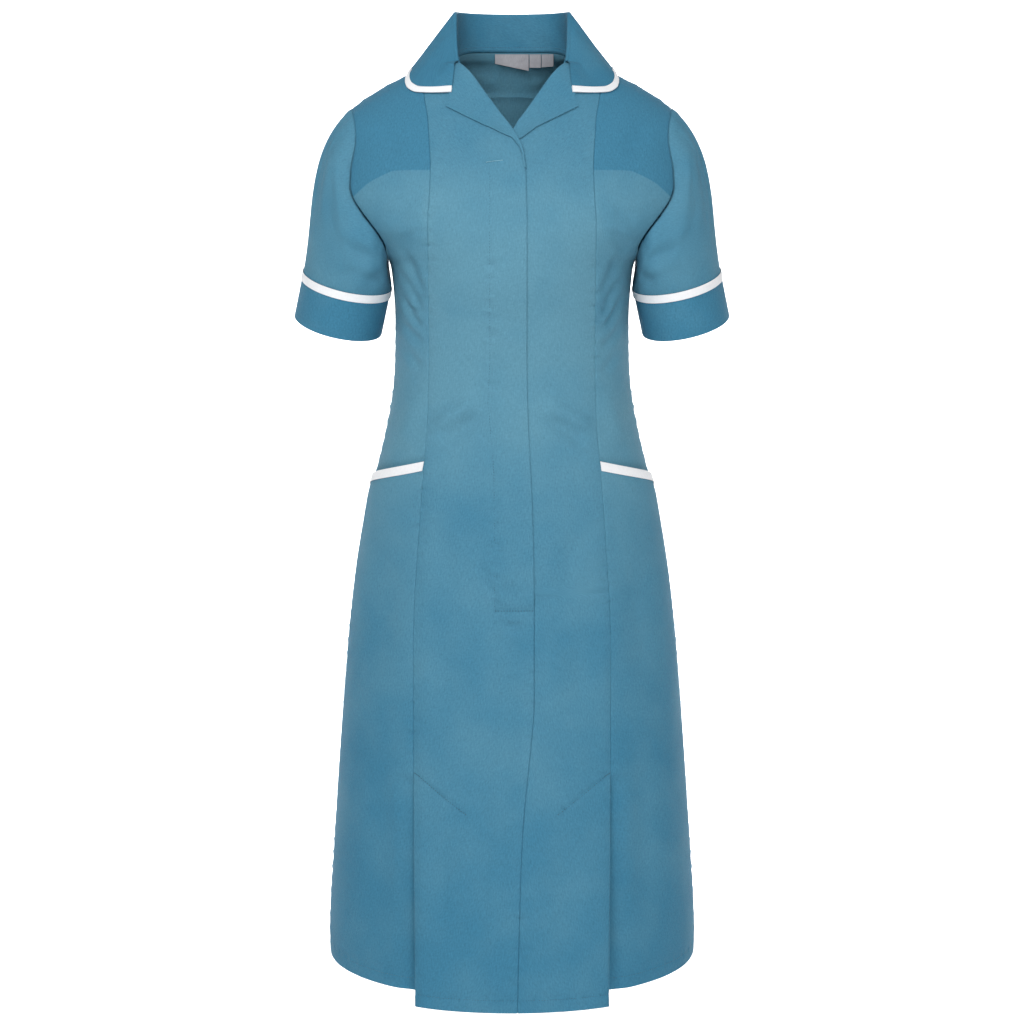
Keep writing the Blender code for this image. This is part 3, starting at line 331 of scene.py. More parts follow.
# Soft troughs in the cloth, from one end to the other, in x and height. A depth less than 0
# is a ridge. Those of the front are listed as seen, those of the back are mirrored.
Crease = namedtuple("Crease", ("x", "height", "end_x", "end_height", "half_width", "depth"))
FRONT_CREASES = tuple(Crease(*row) for row in (
    # side bodice, wearer's right then left
    (-0.1180, -0.2020, -0.0960, -0.2620, 0.0050, 0.0011),
    (-0.1230, -0.2280, -0.0990, -0.2740, 0.0040, 0.0009),
    (-0.1210, -0.2560, -0.0985, -0.2930, 0.0038, 0.0012),
    (-0.1160, -0.2700, -0.1010, -0.2740, 0.0030, 0.0007),
    (-0.1215, -0.2860, -0.0960, -0.3120, 0.0045, 0.0009),
    (-0.1190, -0.3160, -0.0990, -0.3400, 0.0050, 0.0007),
    (0.1180, -0.2060, 0.0970, -0.2600, 0.0050, 0.0010),
    (0.1220, -0.2330, 0.0980, -0.2790, 0.0040, 0.0010),
    (0.1205, -0.2600, 0.0990, -0.2950, 0.0036, 0.0012),
    (0.1120, -0.2690, 0.0970, -0.2740, 0.0030, 0.0007),
    (0.1220, -0.2900, 0.0970, -0.3150, 0.0045, 0.0009),
    (0.1180, -0.3200, 0.0990, -0.3450, 0.0050, 0.0006),
    # from the waist down to the pocket mouths
    (-0.0350, -0.3650, -0.0930, -0.4020, 0.0080, -0.0015),
    (-0.0280, -0.3820, -0.0820, -0.4160, 0.0085, 0.0014),
    (0.0300, -0.3640, 0.0930, -0.4040, 0.0080, -0.0015),
    (0.0340, -0.3850, 0.0850, -0.4180, 0.0085, 0.0014),
    (-0.1000, -0.3600, -0.1250, -0.4300, 0.0085, -0.0008),
    (0.1000, -0.3560, 0.1240, -0.4280, 0.0085, -0.0008),
    # over the buttons that the fly covers
    (-0.0300, -0.2140, -0.0150, -0.2200, 0.0045, 0.0006),
    (-0.0290, -0.2920, -0.0130, -0.2990, 0.0050, 0.0006),
    (-0.0290, -0.3500, -0.0160, -0.3570, 0.0045, 0.0005),
    (-0.0270, -0.4300, -0.0120, -0.4360, 0.0050, 0.0005),
    (-0.0250, -0.5050, -0.0120, -0.5100, 0.0045, 0.0005),
    # pulled cloth at the end of the fly
    (-0.0380, -0.5480, -0.0200, -0.5660, 0.0044, 0.0009),
    (-0.0360, -0.5600, -0.0170, -0.5760, 0.0040, 0.0010),
    (-0.0330, -0.5720, -0.0140, -0.5850, 0.0040, 0.0009),
    (-0.0300, -0.5830, -0.0110, -0.5930, 0.0036, 0.0006),
    (-0.0120, -0.5660, 0.0080, -0.5900, 0.0060, 0.0011),
    (-0.0160, -0.6060, 0.0120, -0.6090, 0.0035, -0.0008),
    (-0.0100, -0.6140, 0.0160, -0.6190, 0.0035, 0.0006),
    # thighs and knees
    (-0.0850, -0.5050, -0.0640, -0.5900, 0.0120, 0.0007),
    (0.0800, -0.5000, 0.0560, -0.5800, 0.0120, 0.0007),
    (-0.0700, -0.6300, -0.0800, -0.7300, 0.0140, 0.0008),
    (0.0700, -0.6200, 0.0840, -0.7200, 0.0140, 0.0008),
    (-0.0420, -0.7400, -0.0300, -0.9000, 0.0150, 0.0008),
    (0.0520, -0.8300, 0.0640, -0.9800, 0.0150, 0.0008),
    (-0.0800, -0.8400, -0.0700, -0.9700, 0.0120, 0.0007),
    (-0.1450, -0.5200, -0.1600, -0.7000, 0.0160, 0.0010),
    (0.1420, -0.5300, 0.1600, -0.7100, 0.0160, 0.0010),
    (-0.1500, -0.7600, -0.1600, -0.9900, 0.0150, 0.0010),
    (0.1480, -0.7400, 0.1580, -0.9800, 0.0150, 0.0010),
    # from the shoulders and the armholes
    (-0.1500, -0.0700, -0.1180, -0.1000, 0.0110, 0.0007),
    (0.1520, -0.0690, 0.1200, -0.1010, 0.0110, 0.0007),
    (-0.1380, -0.1750, -0.1080, -0.1560, 0.0080, 0.0008),
    (0.1380, -0.1740, 0.1080, -0.1570, 0.0080, 0.0008),
    (-0.1290, -0.2140, -0.1080, -0.1780, 0.0065, 0.0008),
    (0.1290, -0.2120, 0.1080, -0.1790, 0.0065, 0.0008),
))
BACK_CREASES = tuple(Crease(*row) for row in (
    (0.0560, -0.0120, 0.0120, -0.0320, 0.0065, 0.0008),
    (0.1480, -0.1300, 0.0850, -0.1180, 0.0110, 0.0013),
    (0.1460, -0.1650, 0.0900, -0.1560, 0.0090, 0.0011),
    (0.1320, -0.2150, 0.0880, -0.1920, 0.0080, 0.0012),
    (0.1260, -0.2550, 0.0780, -0.2700, 0.0080, 0.0014),
    (0.1270, -0.2900, 0.0740, -0.3060, 0.0075, 0.0015),
    (0.1270, -0.3240, 0.0780, -0.3340, 0.0070, 0.0013),
    (0.1280, -0.3600, 0.0800, -0.3640, 0.0080, 0.0011),
    (0.0600, -0.3300, 0.0040, -0.3420, 0.0090, 0.0010),
    (0.0520, -0.3020, -0.0060, -0.3080, 0.0080, 0.0009),
    (0.1300, -0.4100, 0.0900, -0.4700, 0.0130, 0.0013),
    (0.1500, -0.5200, 0.1350, -0.7000, 0.0150, 0.0016),
    (0.0500, -0.5600, 0.0650, -0.9600, 0.0170, 0.0026),
    (0.1150, -0.6400, 0.1350, -1.0000, 0.0170, 0.0026),
    (0.0150, -0.7200, 0.0060, -1.0300, 0.0160, 0.0022),
))

# Long darts of the back, as x on the wearer's left
DART_COLUMNS = ("height", "x")
DART_ROWS = ((-0.195, 0.0850), (-0.350, 0.0740), (-0.500, 0.0800))
DART_DEPTH = 0.0016
DART_HALF_WIDTH = 0.0032

# Sleeve creases: station and share of the way down at both ends, half width, depth
SLEEVE_CREASES = (
    (7.6, 0.30, 5.2, 0.62, 0.0075, 0.0013), (8.2, 0.55, 6.4, 0.86, 0.0065, 0.0011),
    (4.2, 0.12, 3.4, 0.60, 0.0110, 0.0008), (2.2, 0.20, 1.6, 0.75, 0.0120, 0.0008),
    (5.8, 0.70, 4.3, 0.96, 0.0060, 0.0008), (12.2, 0.35, 14.2, 0.66, 0.0085, 0.0016),
    (11.6, 0.60, 13.4, 0.90, 0.0070, 0.0013), (15.6, 0.18, 16.4, 0.72, 0.0110, 0.0011),
    (18.0, 0.25, 18.4, 0.80, 0.0120, 0.0008),
)

# Sewing
CREASE_GAIN = 2.3
STITCH_PITCH = 0.0031
STITCH_LENGTH = 0.0023
THREAD_RADIUS = 0.00021
HEM_DEPTH = 0.0135
PUCKER_DEPTH = 0.0014
PUCKER_REACH = 0.0080
PUCKER_LENGTH = 0.0150
PLACKET_STITCH = (
    (-0.0238, -0.1120), (-0.0241, -0.3230), (-0.0263, -0.3690), (-0.0198, -0.4475),
    (-0.0190, -0.5250), (-0.0191, -0.5992),
)
FLY_BAR_HEIGHT = -0.5992
PLEAT_STITCH = ((0.1096, -0.7842), (0.0800, -0.8060), (0.0500, -0.8270))
BUTTONHOLE = ((-0.0283, -0.1092), (-0.0102, -0.1076))
NECK_STRIP_STATIONS = 4.6
NECK_STRIP_SHARES = (0.02, 0.15)

# Columns of the cut of a piece of cloth, in metres and square metres: piece, width, length, area
# where it isn't a rectangle, how it is held, what it hangs from or lies on, and what goes with it.
Cut = namedtuple("Cut", ("piece", "width", "length", "area", "held", "rests_on", "goes_with"))


def smooth_between(keys, values, at):
    """Value at a key on a smooth curve that never overshoots. The keys fall."""
    keys = -np.asarray(keys, float)
    values = np.asarray(values, float)
    at = np.clip(-np.asarray(at, float), keys[0], keys[-1])
    spans = np.diff(keys)
    rises = np.diff(values) / spans
    together = rises[:-1] * rises[1:]
    total = np.where(together > 0.0, rises[:-1] + rises[1:], 1.0)
    inner = np.where(together > 0.0, 2.0 * together / total, 0.0)
    slopes = np.concatenate((rises[:1], inner, rises[-1:]))
    index = np.clip(np.searchsorted(keys, at, side="right") - 1, 0, len(keys) - 2)
    span = spans[index]
    t = (at - keys[index]) / span
    return ((2 * t ** 3 - 3 * t ** 2 + 1) * values[index]
            + (t ** 3 - 2 * t ** 2 + t) * span * slopes[index]
            + (3 * t ** 2 - 2 * t ** 3) * values[index + 1]
            + (t ** 3 - t ** 2) * span * slopes[index + 1])


def at_height(rows, names, name, height):
    """Value in one column of a table whose first column is the height."""
    index = names.index(name)
    return smooth_between([row[0] for row in rows], [row[index] for row in rows], height)


def at_row(values, row):
    """Value between the rows of a list, on a smooth curve."""
    return smooth_between(-np.arange(len(values)), values, -np.asarray(row, float))


def ease(t):
    """Smooth step from 0 to 1."""
    t = np.clip(t, 0.0, 1.0)
    return t * t * (3.0 - 2.0 * t)


def mix(a, b, t):
    return a + (b - a) * t


def unit(vectors):
    length = np.linalg.norm(vectors, axis=-1, keepdims=True)
    return vectors / np.maximum(length, 1e-12)


def section(height):
    """Half width, front depth, back depth and squareness at a height."""
    half_width = at_height(WIDTH_ROWS, WIDTH_COLUMNS, "half_width", height)
    depths = [at_height(DEPTH_ROWS, DEPTH_COLUMNS, name, height) for name in DEPTH_COLUMNS[1:]]
    return [half_width] + depths


def signed_power(value, power):
    return np.sign(value) * np.abs(value) ** power


def body_surface(angle, height):
    angle, height = np.broadcast_arrays(np.asarray(angle, float), np.asarray(height, float))
    half_width, front, back, squareness = section(height)
    turn = np.radians(angle)
    depth = np.where(np.cos(turn) > 0.0, front, back)
    x = half_width * signed_power(np.sin(turn), 2.0 / squareness)
    y = -depth * signed_power(np.cos(turn), 2.0 / squareness)
    return np.stack((x, y, height), axis=-1)


def body_normal(angle, height):
    around = body_surface(angle + TURN_STEP, height) - body_surface(angle - TURN_STEP, height)
    down = (body_surface(angle, height - HEIGHT_STEP)
            - body_surface(angle, height + HEIGHT_STEP))
    return unit(np.cross(down, around))


def body_point(angle, height, outward=0.0, forward=0.0):
    angle, height = np.broadcast_arrays(np.asarray(angle, float), np.asarray(height, float))
    outward, forward = np.broadcast_arrays(outward, forward, angle)[:2]
    moved = body_normal(angle, height) * outward[..., None]
    moved[..., 1] -= forward
    return body_surface(angle, height) + moved


def angle_at(x, height):
    """Angle on the front half where the body has this x."""
    half_width, _, _, squareness = section(height)
    ratio = np.minimum(1.0, np.abs(x) / half_width)
    return np.sign(x) * np.degrees(np.arcsin(ratio ** (squareness / 2.0)))


def clear_of_body(points, lift):
    """The points, moved out where they are nearer to the body than the lift."""
    def reach(p):
        half_width, front, back, squareness = section(p[..., 2])
        depth = np.where(p[..., 1] < 0.0, front, back)
        return ((np.abs(p[..., 0]) / half_width) ** squareness
                + (np.abs(p[..., 1]) / depth) ** squareness) ** (1.0 / squareness)

    for _ in range(4):
        here = reach(points)
        gradient = np.stack([(reach(points + step) - here) / HEIGHT_STEP
                             for step in np.eye(3) * HEIGHT_STEP], axis=-1)
        steepness = np.linalg.norm(gradient, axis=-1)
        short = np.maximum(0.0, lift - (here - 1.0) / steepness)
        points = points + gradient / steepness[..., None] * short[..., None]
    return points


def princess_angle(height):
    """Angle of the princess seam, which meets the shoulder seam at its top."""
    angle = angle_at(at_height(PRINCESS_ROWS, PRINCESS_COLUMNS, "x", height), height)
    first, second = TOP_ROWS[0].princess_height, TOP_ROWS[1].princess_height
    return mix(90.0, angle, ease((first - height) / (first - second)))


def armhole(station):
    """Angle and height of an armhole station: 0 at the shoulder, then down the front."""
    station = np.mod(np.asarray(station, float), ARMHOLE_STATIONS)
    turn = 2.0 * np.pi * station / ARMHOLE_STATIONS
    height = mix(SHOULDER_POINT_HEIGHT, UNDERARM_HEIGHT, (1.0 - np.cos(turn)) / 2.0)
    front = angle_at(at_height(ARMHOLE_ROWS, ARMHOLE_COLUMNS, "front_x", height), height)
    back = 180.0 - angle_at(at_height(ARMHOLE_ROWS, ARMHOLE_COLUMNS, "back_x", height), height)
    return np.where(station <= ARMHOLE_STATIONS // 2, front, back), height


def wander(along, seed):
    """Uneven wave between about -1 and 1, the same on every run."""
    total = np.zeros_like(np.asarray(along, float))
    for i in range(4):
        total = total + np.sin(along * (1.0 + 0.83 * i) + seed * (1.7 + 2.31 * i)) / (1.6 + i)
    return total / 1.3


def steps_between(length, spacing, fine_ends=(True, True)):
    """Shares from 0 to 1 along a length, closer together by the ends that roll."""
    near = np.array((0.0, 0.25, 0.6, 1.1, 1.9)) * SEAM_ROLL
    count = max(2, int(round(length / spacing)))
    middle = np.linspace(0.0, length, count + 1)
    inside = middle[(middle > near[-1] * 1.4) & (middle < length - near[-1] * 1.4)]
    start = near if fine_ends[0] else middle[:1]
    end = length - near[::-1] if fine_ends[1] else middle[-1:]
    if not fine_ends[0]:
        start = middle[middle <= near[-1] * 1.4]
    if not fine_ends[1]:
        end = middle[middle >= length - near[-1] * 1.4]
    return np.concatenate((start, inside, end)) / length


def grid_normals(grid, wrap=False):
    """Unit normals of a grid of points, from its neighbours."""
    down = np.gradient(grid, axis=0)
    if wrap:
        along = np.roll(grid, -1, axis=1) - np.roll(grid, 1, axis=1)
    else:
        along = np.gradient(grid, axis=1)
    return unit(np.cross(down, along))


def edge_distance(grid, wrap=False):
    """Distance of every point of a grid from its four borders: top, bottom, start, end."""
    down = np.linalg.norm(np.diff(grid, axis=0), axis=-1)
    top = np.concatenate((np.zeros((1, grid.shape[1])), np.cumsum(down, axis=0)))
    along = np.linalg.norm(np.diff(grid, axis=1), axis=-1)
    start = np.concatenate((np.zeros((grid.shape[0], 1)), np.cumsum(along, axis=1)), axis=1)
    return top, top[-1:] - top, start, start[:, -1:] - start


def roll_in(distance, depth=SEAM_ROLL):
    """How far cloth turns in beside a seam or a folded edge."""
    near = np.clip(distance / (depth * 2.0), 0.0, 1.0)
    return depth * (1.0 - np.sqrt(1.0 - (1.0 - near) ** 2))


def make_mesh(name, points, faces, uv, tones=()):
    mesh = bpy.data.meshes.new(name)
    mesh.from_pydata(points.reshape(-1, 3).tolist(), [], faces.tolist())
    for tone_name, values in tones:
        tone = mesh.attributes.new(tone_name, "FLOAT", "POINT")
        tone.data.foreach_set("value", values.astype(np.float32).ravel())
    layer = mesh.uv_layers.new(name="cloth")
    corner = np.zeros(len(mesh.loops), np.int32)
    mesh.loops.foreach_get("vertex_index", corner)
    layer.data.foreach_set("uv", uv.reshape(-1, 2)[corner].astype(np.float32).ravel())
    mesh.shade_smooth()
    mesh.set_sharp_from_angle(angle=math.radians(55.0))
    thing = bpy.data.objects.new(name, mesh)
    bpy.context.scene.collection.objects.link(thing)
    return thing


def shell(name, outer, wall=SHELL, wrap=False, side=1, middle=False, painted_light=0.3, shaded=None):
    """Closed thin shell from a grid of points, with its inner side a wall deeper.

    Painted light and shade go with it: how far each point takes the paler, lit teal, and how
    far above the line where the shoulder's darker tone ends.
    """
    normals = grid_normals(outer, wrap)
    if middle:
        outer = outer + normals * (wall / 2.0)
    inner = outer - normals * wall
    rows, columns = outer.shape[:2]
    top, _, start, _ = edge_distance(outer, wrap)
    uv = np.stack((start, -top), axis=-1)
    points = np.concatenate((outer, inner))
    if side < 0:
        points = points * np.array((-1.0, 1.0, 1.0))
    spans = columns if wrap else columns - 1
    i, j = np.meshgrid(np.arange(rows - 1), np.arange(spans), indexing="ij")
    i, j = i.ravel(), j.ravel()
    k = (j + 1) % columns
    back = rows * columns
    front = np.stack((i * columns + j, (i + 1) * columns + j, (i + 1) * columns + k,
                      i * columns + k), axis=-1)
    faces = [front, front[:, ::-1] + back]
    for row, flip in ((0, 1), (rows - 1, -1)):
        first = row * columns + np.arange(spans)
        second = row * columns + (np.arange(spans) + 1) % columns
        rim = np.stack((first, second, second + back, first + back), axis=-1)
        faces.append(rim[:, ::flip])
    if not wrap:
        for column, flip in ((0, -1), (columns - 1, 1)):
            first = np.arange(rows - 1) * columns + column
            second = first + columns
            rim = np.stack((first, second, second + back, first + back), axis=-1)
            faces.append(rim[:, ::flip])
    faces = np.concatenate(faces)
    corners = [points.reshape(-1, 3)[faces[:, i]] for i in range(4)]
    volume = sum(np.sum(corners[0] * np.cross(corners[i], corners[i + 1])) for i in (1, 2))
    if volume < 0.0:
        faces = faces[:, ::-1]
    tones = []
    for tone_name, values in (("painted_light", painted_light), ("above_line", shaded)):
        values = np.broadcast_to(-1.0 if values is None else values, (rows, columns))
        # Inner faces get more painted light, standing in for light that hardly reaches inside
        behind = values + (INNER_PAINTED_LIGHT if tone_name == "painted_light" else 0.0)
        tones.append((tone_name, np.concatenate((values, behind))))
    return make_mesh(name, points, faces, np.concatenate((uv, uv)), tones)


# Painted light of a panel at a height, from 0 to 1
def panel_painted_light(name, height):
    return at_height(PAINTED_LIGHT_ROWS, PAINTED_LIGHT_COLUMNS, name, height)


def front_rows():
    """Inner edge and princess heights of every row of a centre front."""
    rows = [(row.edge_height, row.princess_height) for row in TOP_ROWS]
    rows += [(princess, princess) for princess, _ in BODICE_ROWS]
    rows += [(princess, princess) for princess, _ in SKIRT_ROWS[:-1]]
    return rows + [(CENTRE_HEM_HEIGHT, CENTRE_HEM_HEIGHT)]


def front_edge_x(side, row, height):
    """x of the inner edge on the wearer's own side, less than 0 past the centre."""
    over_x = float(at_height(EDGE_ROWS, EDGE_COLUMNS, "x", height))
    if side < 0:
        return TOP_ROWS[row].edge_x if row < len(TOP_ROWS) else -over_x
    if row < STAND_FIRST_ROW:
        return TOP_ROWS[row].edge_x
    if height > FLY_END_HEIGHT:
        return -float(at_height(STAND_ROWS, STAND_COLUMNS, "reach", height))
    return over_x


def even_rows(heights, spacing):
    """Row numbers, with parts, that are evenly spaced down a list of falling heights."""
    dense = np.linspace(0.0, len(heights) - 1.0, 40 * len(heights))
    falls = at_row(heights, dense)
    count = int(round((falls[0] - falls[-1]) / spacing))
    wanted = np.linspace(falls[0], falls[-1], count + 1)
    return np.interp(-wanted, -falls, dense)


def pleat_stand(height):
    """How far the centre panel stands forward over the open kick pleats."""
    fall = (PLEAT_TOP_HEIGHT - height) / (PLEAT_TOP_HEIGHT - HEM_HEIGHT)
    return PLEAT_STAND * np.maximum(0.0, fall) ** PLEAT_STAND_CURVE


def pleat_radius(height):
    """Radius of the fold down each edge of the centre panel."""
    return PLEAT_FOLD_RADIUS + PLEAT_FOLD_OPENING * pleat_stand(height)


def pleat_open(height):
    return ease((PLEAT_TOP_HEIGHT - height) / (PLEAT_TOP_HEIGHT - PLEAT_FULL_HEIGHT))


def placket_raise(own_x, height):
    """The fly edge lies over the button stand, down to the end of the fly."""
    across = ease((PLACKET_FLAT_X - own_x) / (PLACKET_FLAT_X - PLACKET_FULL_X))
    down = ease((height - FLY_BLEND_HEIGHT) / (FLY_END_HEIGHT - FLY_BLEND_HEIGHT))
    return PLACKET_RAISE * across * down


def front_places(side):
    """Angle, height and own x over a centre front panel."""
    heights = front_rows()
    rows = even_rows([princess for _, princess in heights], GRID)
    edge_xs = [front_edge_x(side, i, edge) for i, (edge, _) in enumerate(heights)]
    edge_x = at_row(edge_xs, rows)
    edge_height = at_row([edge for edge, _ in heights], rows)
    outer_height = at_row([princess for _, princess in heights], rows)
    edge = angle_at(edge_x, edge_height)
    outer = princess_angle(outer_height)
    across = steps_between(0.11, GRID)
    angle = mix(edge[:, None], outer[:, None], across)
    height = mix(edge_height[:, None], outer_height[:, None], across)
    return angle, height


def make_front(name, side):
    angle, height = front_places(side)
    flat = body_surface(angle, height)
    own_x = flat[..., 0]
    _, _, start, end = edge_distance(flat)
    outward = placket_raise(own_x, height) if side < 0 else np.zeros_like(own_x)
    outward = outward - roll_in(start)
    fold = mix(SEAM_ROLL, pleat_radius(height) + WALL / 2.0, pleat_open(height))
    near = np.clip(end / fold, 0.0, 1.0)
    outward = outward - fold * (1.0 - np.sqrt(1.0 - (1.0 - near) ** 2))
    outward = outward + relief(angle * side, height)
    grid = body_point(angle, height, outward, pleat_stand(height))
    return shell(name, grid, side=side, painted_light=panel_painted_light("centre", height))


def side_front_places():
    half = ARMHOLE_STATIONS // 2
    princess = [row.princess_height for row in TOP_ROWS] + [row[0] for row in BODICE_ROWS]
    princess += [row[0] for row in BODICE_HIDDEN_ROWS]
    sides = [side for _, side in BODICE_ROWS + BODICE_HIDDEN_ROWS if side is not None]
    rows = even_rows(princess, GRID)
    start_height = at_row(princess, rows)
    start = princess_angle(start_height)
    arm_angle, arm_height = armhole(np.minimum(rows, half))
    low_height = at_row([UNDERARM_HEIGHT] + sides, np.maximum(0.0, rows - half))
    end = np.where(rows <= half, arm_angle, 90.0)
    end_height = np.where(rows <= half, arm_height, low_height)
    across = steps_between(0.105, GRID)
    angle = mix(start[:, None], end[:, None], across)
    height = mix(start_height[:, None], end_height[:, None], across)
    last = len(princess) - 1
    lap = ease((rows - (last - 3)) / 1.0)
    return angle, height, lap[:, None] * np.ones_like(angle)


def make_side_front(name, side):
    angle, height, lap = side_front_places()
    _, _, start, end = edge_distance(body_surface(angle, height))
    outward = -POCKET_LAP_DIP * lap - roll_in(start) - roll_in(end)
    outward = outward + relief(angle * side, height)
    x = body_surface(angle, height)[..., 0]
    line = np.interp(x, [-row[0] for row in SHADE_LINE_ROWS], [row[1] for row in SHADE_LINE_ROWS])
    # Painted light of the side front: the centre's by the princess seam, the side's lower down
    tone = mix(panel_painted_light("side", height), panel_painted_light("centre", height), ease(1.0 - start / 0.012))
    tone = mix(tone, panel_painted_light("side", height), ease((-0.16 - height) / 0.05))
    return shell(name, body_point(angle, height, outward), side=side, painted_light=tone,
                 shaded=height - line)


def skirt_places(spacing=GRID, rows=None):
    """Rows of the side skirt, with the gaping pocket mouth and the pleat dip."""
    if rows is None:
        rows = even_rows([princess for princess, _ in SKIRT_ROWS], spacing)
    princess_height = at_row([princess for princess, _ in SKIRT_ROWS], rows)[:, None]
    side_height = at_row([side for _, side in SKIRT_ROWS], rows)[:, None]
    across = steps_between(0.16, spacing)[None, :]
    start = princess_angle(princess_height)
    angle = mix(start, 90.0, across)
    height = mix(princess_height, side_height, across)
    from_seam = body_surface(angle, height)[..., 0] - body_surface(start, height)[..., 0]
    outward = -PLEAT_DIP * pleat_open(princess_height) * ease(1.0 - from_seam / PLEAT_DIP_WIDTH)
    below = (SKIRT_ROWS[0][0] - POCKET_MOUTH_DROP * across - height) / POCKET_STAND_DEPTH
    stand = np.sin(np.pi * across ** POCKET_STAND_CURVE) * (1.0 - ease(below))
    return angle, height, outward + POCKET_STAND * stand


def make_side_skirt(name, side):
    angle, height, outward = skirt_places()
    _, _, start, end = edge_distance(body_surface(angle, height))
    outward = outward - roll_in(start) - roll_in(end) + relief(angle * side, height)
    return shell(name, body_point(angle, height, outward), side=side,
                 painted_light=panel_painted_light("side", height))


def make_pocket_trim(name, side):
    """Tape along the pocket mouth, made from the skirt panel's points moved out."""
    angle, height, outward = skirt_places(FINE_GRID, np.zeros(1))
    down = steps_between(POCKET_TAPE_WIDTH, FINE_GRID)[:, None] * POCKET_TAPE_WIDTH
    height = height - down
    outward = outward + relief(angle * side, height)
    top, bottom, _, _ = edge_distance(body_surface(angle, height))
    lift = LAYER_GAP + TAPE_WALL - roll_in(np.minimum(top, bottom), 0.0003)
    grid = body_point(angle, height, outward + lift)
    return shell(name, grid, TAPE_WALL, side=side)


def make_kick_pleat(name, side):
    """Z fold of cloth behind one edge of the centre panel."""
    layer_near = -WALL / 2.0 - 2.0 * PLEAT_FOLD_RADIUS
    layer_far = -PLEAT_DIP - WALL / 2.0
    falls = np.linspace(0.0, 1.0, int((PLEAT_FULL_HEIGHT - HEM_HEIGHT) / COARSE_GRID))
    radius = pleat_radius(mix(PLEAT_FULL_HEIGHT, HEM_HEIGHT, falls))
    fold_inward = radius + WALL / 2.0
    profile = []
    for swing in np.radians(np.linspace(90.0, 180.0, 7)):
        profile.append((fold_inward - radius * math.sin(swing), 0.0,
                        -WALL / 2.0 - radius * (1.0 - math.cos(swing)), 1.0))
    under = -WALL / 2.0 - 2.0 * radius
    for t in np.linspace(0.08, 0.92, 14):
        profile.append((PLEAT_DEPTH * t, t, mix(under, layer_near, t), 1.0 - t))
    fold = (layer_near - layer_far) / 2.0
    for swing in np.radians(np.linspace(0.0, 180.0, 9)):
        profile.append((PLEAT_DEPTH + fold * math.sin(swing), 1.0,
                        layer_near - fold * (1.0 - math.cos(swing)), 0.0))
    for t in np.linspace(0.92, 0.0, 16):
        profile.append((PLEAT_DEPTH * t + 0.0004, t, layer_far, 0.0))
    columns = []
    for inward, slant, depth, stand_share in profile:
        top = PLEAT_FULL_HEIGHT - PLEAT_TOP_DROP - slant * PLEAT_SLANT
        low = mix(HEM_HEIGHT + PLEAT_HEM_RISE, CENTRE_HEM_HEIGHT, stand_share)
        height = mix(top, low, falls)
        x = body_surface(princess_angle(height), height)[..., 0] - inward
        columns.append(body_point(angle_at(x, height), height, depth,
                                  pleat_stand(height) * stand_share))
    return shell(name, np.stack(columns, axis=1), side=side, middle=True, painted_light=0.0)


def back_places():
    half = ARMHOLE_STATIONS // 2
    ends = [armhole(ARMHOLE_STATIONS - s)[1] for s in range(YOKE_END_STATION, half + 1)]
    sides = [side for _, side in BODICE_ROWS if side is not None]
    sides += [side for _, side in SKIRT_ROWS]
    heights = [float(end) for end in ends] + sides
    rows = even_rows(heights, COARSE_GRID)
    last_arm = len(ends) - 1
    arm_angle, arm_height = armhole(ARMHOLE_STATIONS - YOKE_END_STATION
                                    - np.minimum(rows, last_arm))
    end = np.where(rows <= last_arm, arm_angle, 90.0)
    low_height = at_row([heights[last_arm]] + sides, np.maximum(0.0, rows - last_arm))
    end_height = np.where(rows <= last_arm, arm_height, low_height)
    share = np.maximum(0.0, (end_height - BACK_LEVEL_HEIGHT) / (heights[0] - BACK_LEVEL_HEIGHT))
    centre = end_height + (YOKE_CENTRE_HEIGHT - heights[0]) * share ** BACK_ROW_CURVE
    from_end = steps_between(0.29, COARSE_GRID, (True, False))
    t = 1.0 - from_end
    angle = mix(180.0, end[:, None], t)
    height = mix(centre[:, None], end_height[:, None], t * t)
    angle = np.concatenate((angle, 360.0 - angle[:, -2::-1]), axis=1)
    height = np.concatenate((height, height[:, -2::-1]), axis=1)
    return angle, height


def make_back(name):
    angle, height = back_places()
    top, _, start, end = edge_distance(body_surface(angle, height))
    outward = -roll_in(start) - roll_in(end) - roll_in(top)
    outward = outward + relief(angle, height)
    return shell(name, body_point(angle, height, outward), painted_light=panel_painted_light("side", height))


def make_back_yoke(name):
    tops = [(90.0, SHOULDER_POINT_HEIGHT * (1.0 - t)) for t in YOKE_SHOULDER_STEPS]
    neck = [(row.seam_angle, row.seam_height) for row in COLLAR_ROWS if row.seam_angle > 90.0]
    tops += neck[::-1]
    columns = np.linspace(0.0, len(tops) - 1.0, 60)
    top_angle = at_row([angle for angle, _ in tops], columns)
    top_height = at_row([height for _, height in tops], columns)
    share = 1.0 - columns / (len(tops) - 1.0)
    end_angle, end_height = armhole(ARMHOLE_STATIONS - YOKE_END_STATION)
    low_angle = mix(180.0, end_angle, share)
    low_height = mix(YOKE_CENTRE_HEIGHT, end_height, share * share)
    top = body_surface(top_angle, top_height)
    low = body_surface(low_angle, low_height)
    falls = np.linspace(0.0, 1.0, 26)
    fall = (falls ** 2)[:, None]
    height = mix(top_height, low_height, fall)
    x = mix(top[:, 0], low[:, 0], fall)
    angle = 180.0 - angle_at(x, height)
    angle[0] = top_angle
    arm_angle, arm_height = armhole(ARMHOLE_STATIONS - YOKE_END_STATION * falls)
    arm_angle[0] = 90.0
    angle[:, 0] = arm_angle
    height[:, 0] = arm_height
    angle = np.concatenate((angle, 360.0 - angle[:, -2::-1]), axis=1)
    height = np.concatenate((height, height[:, -2::-1]), axis=1)
    grid = body_point(angle, height)
    top, bottom, start, end = edge_distance(grid)
    outward = -roll_in(bottom) - roll_in(start) - roll_in(end) + relief(angle, height)
    return shell(name, body_point(angle, height, outward), painted_light=panel_painted_light("side", height))


def cuff_axis():
    return unit(np.cross(CUFF_BACKWARD, CUFF_ACROSS))


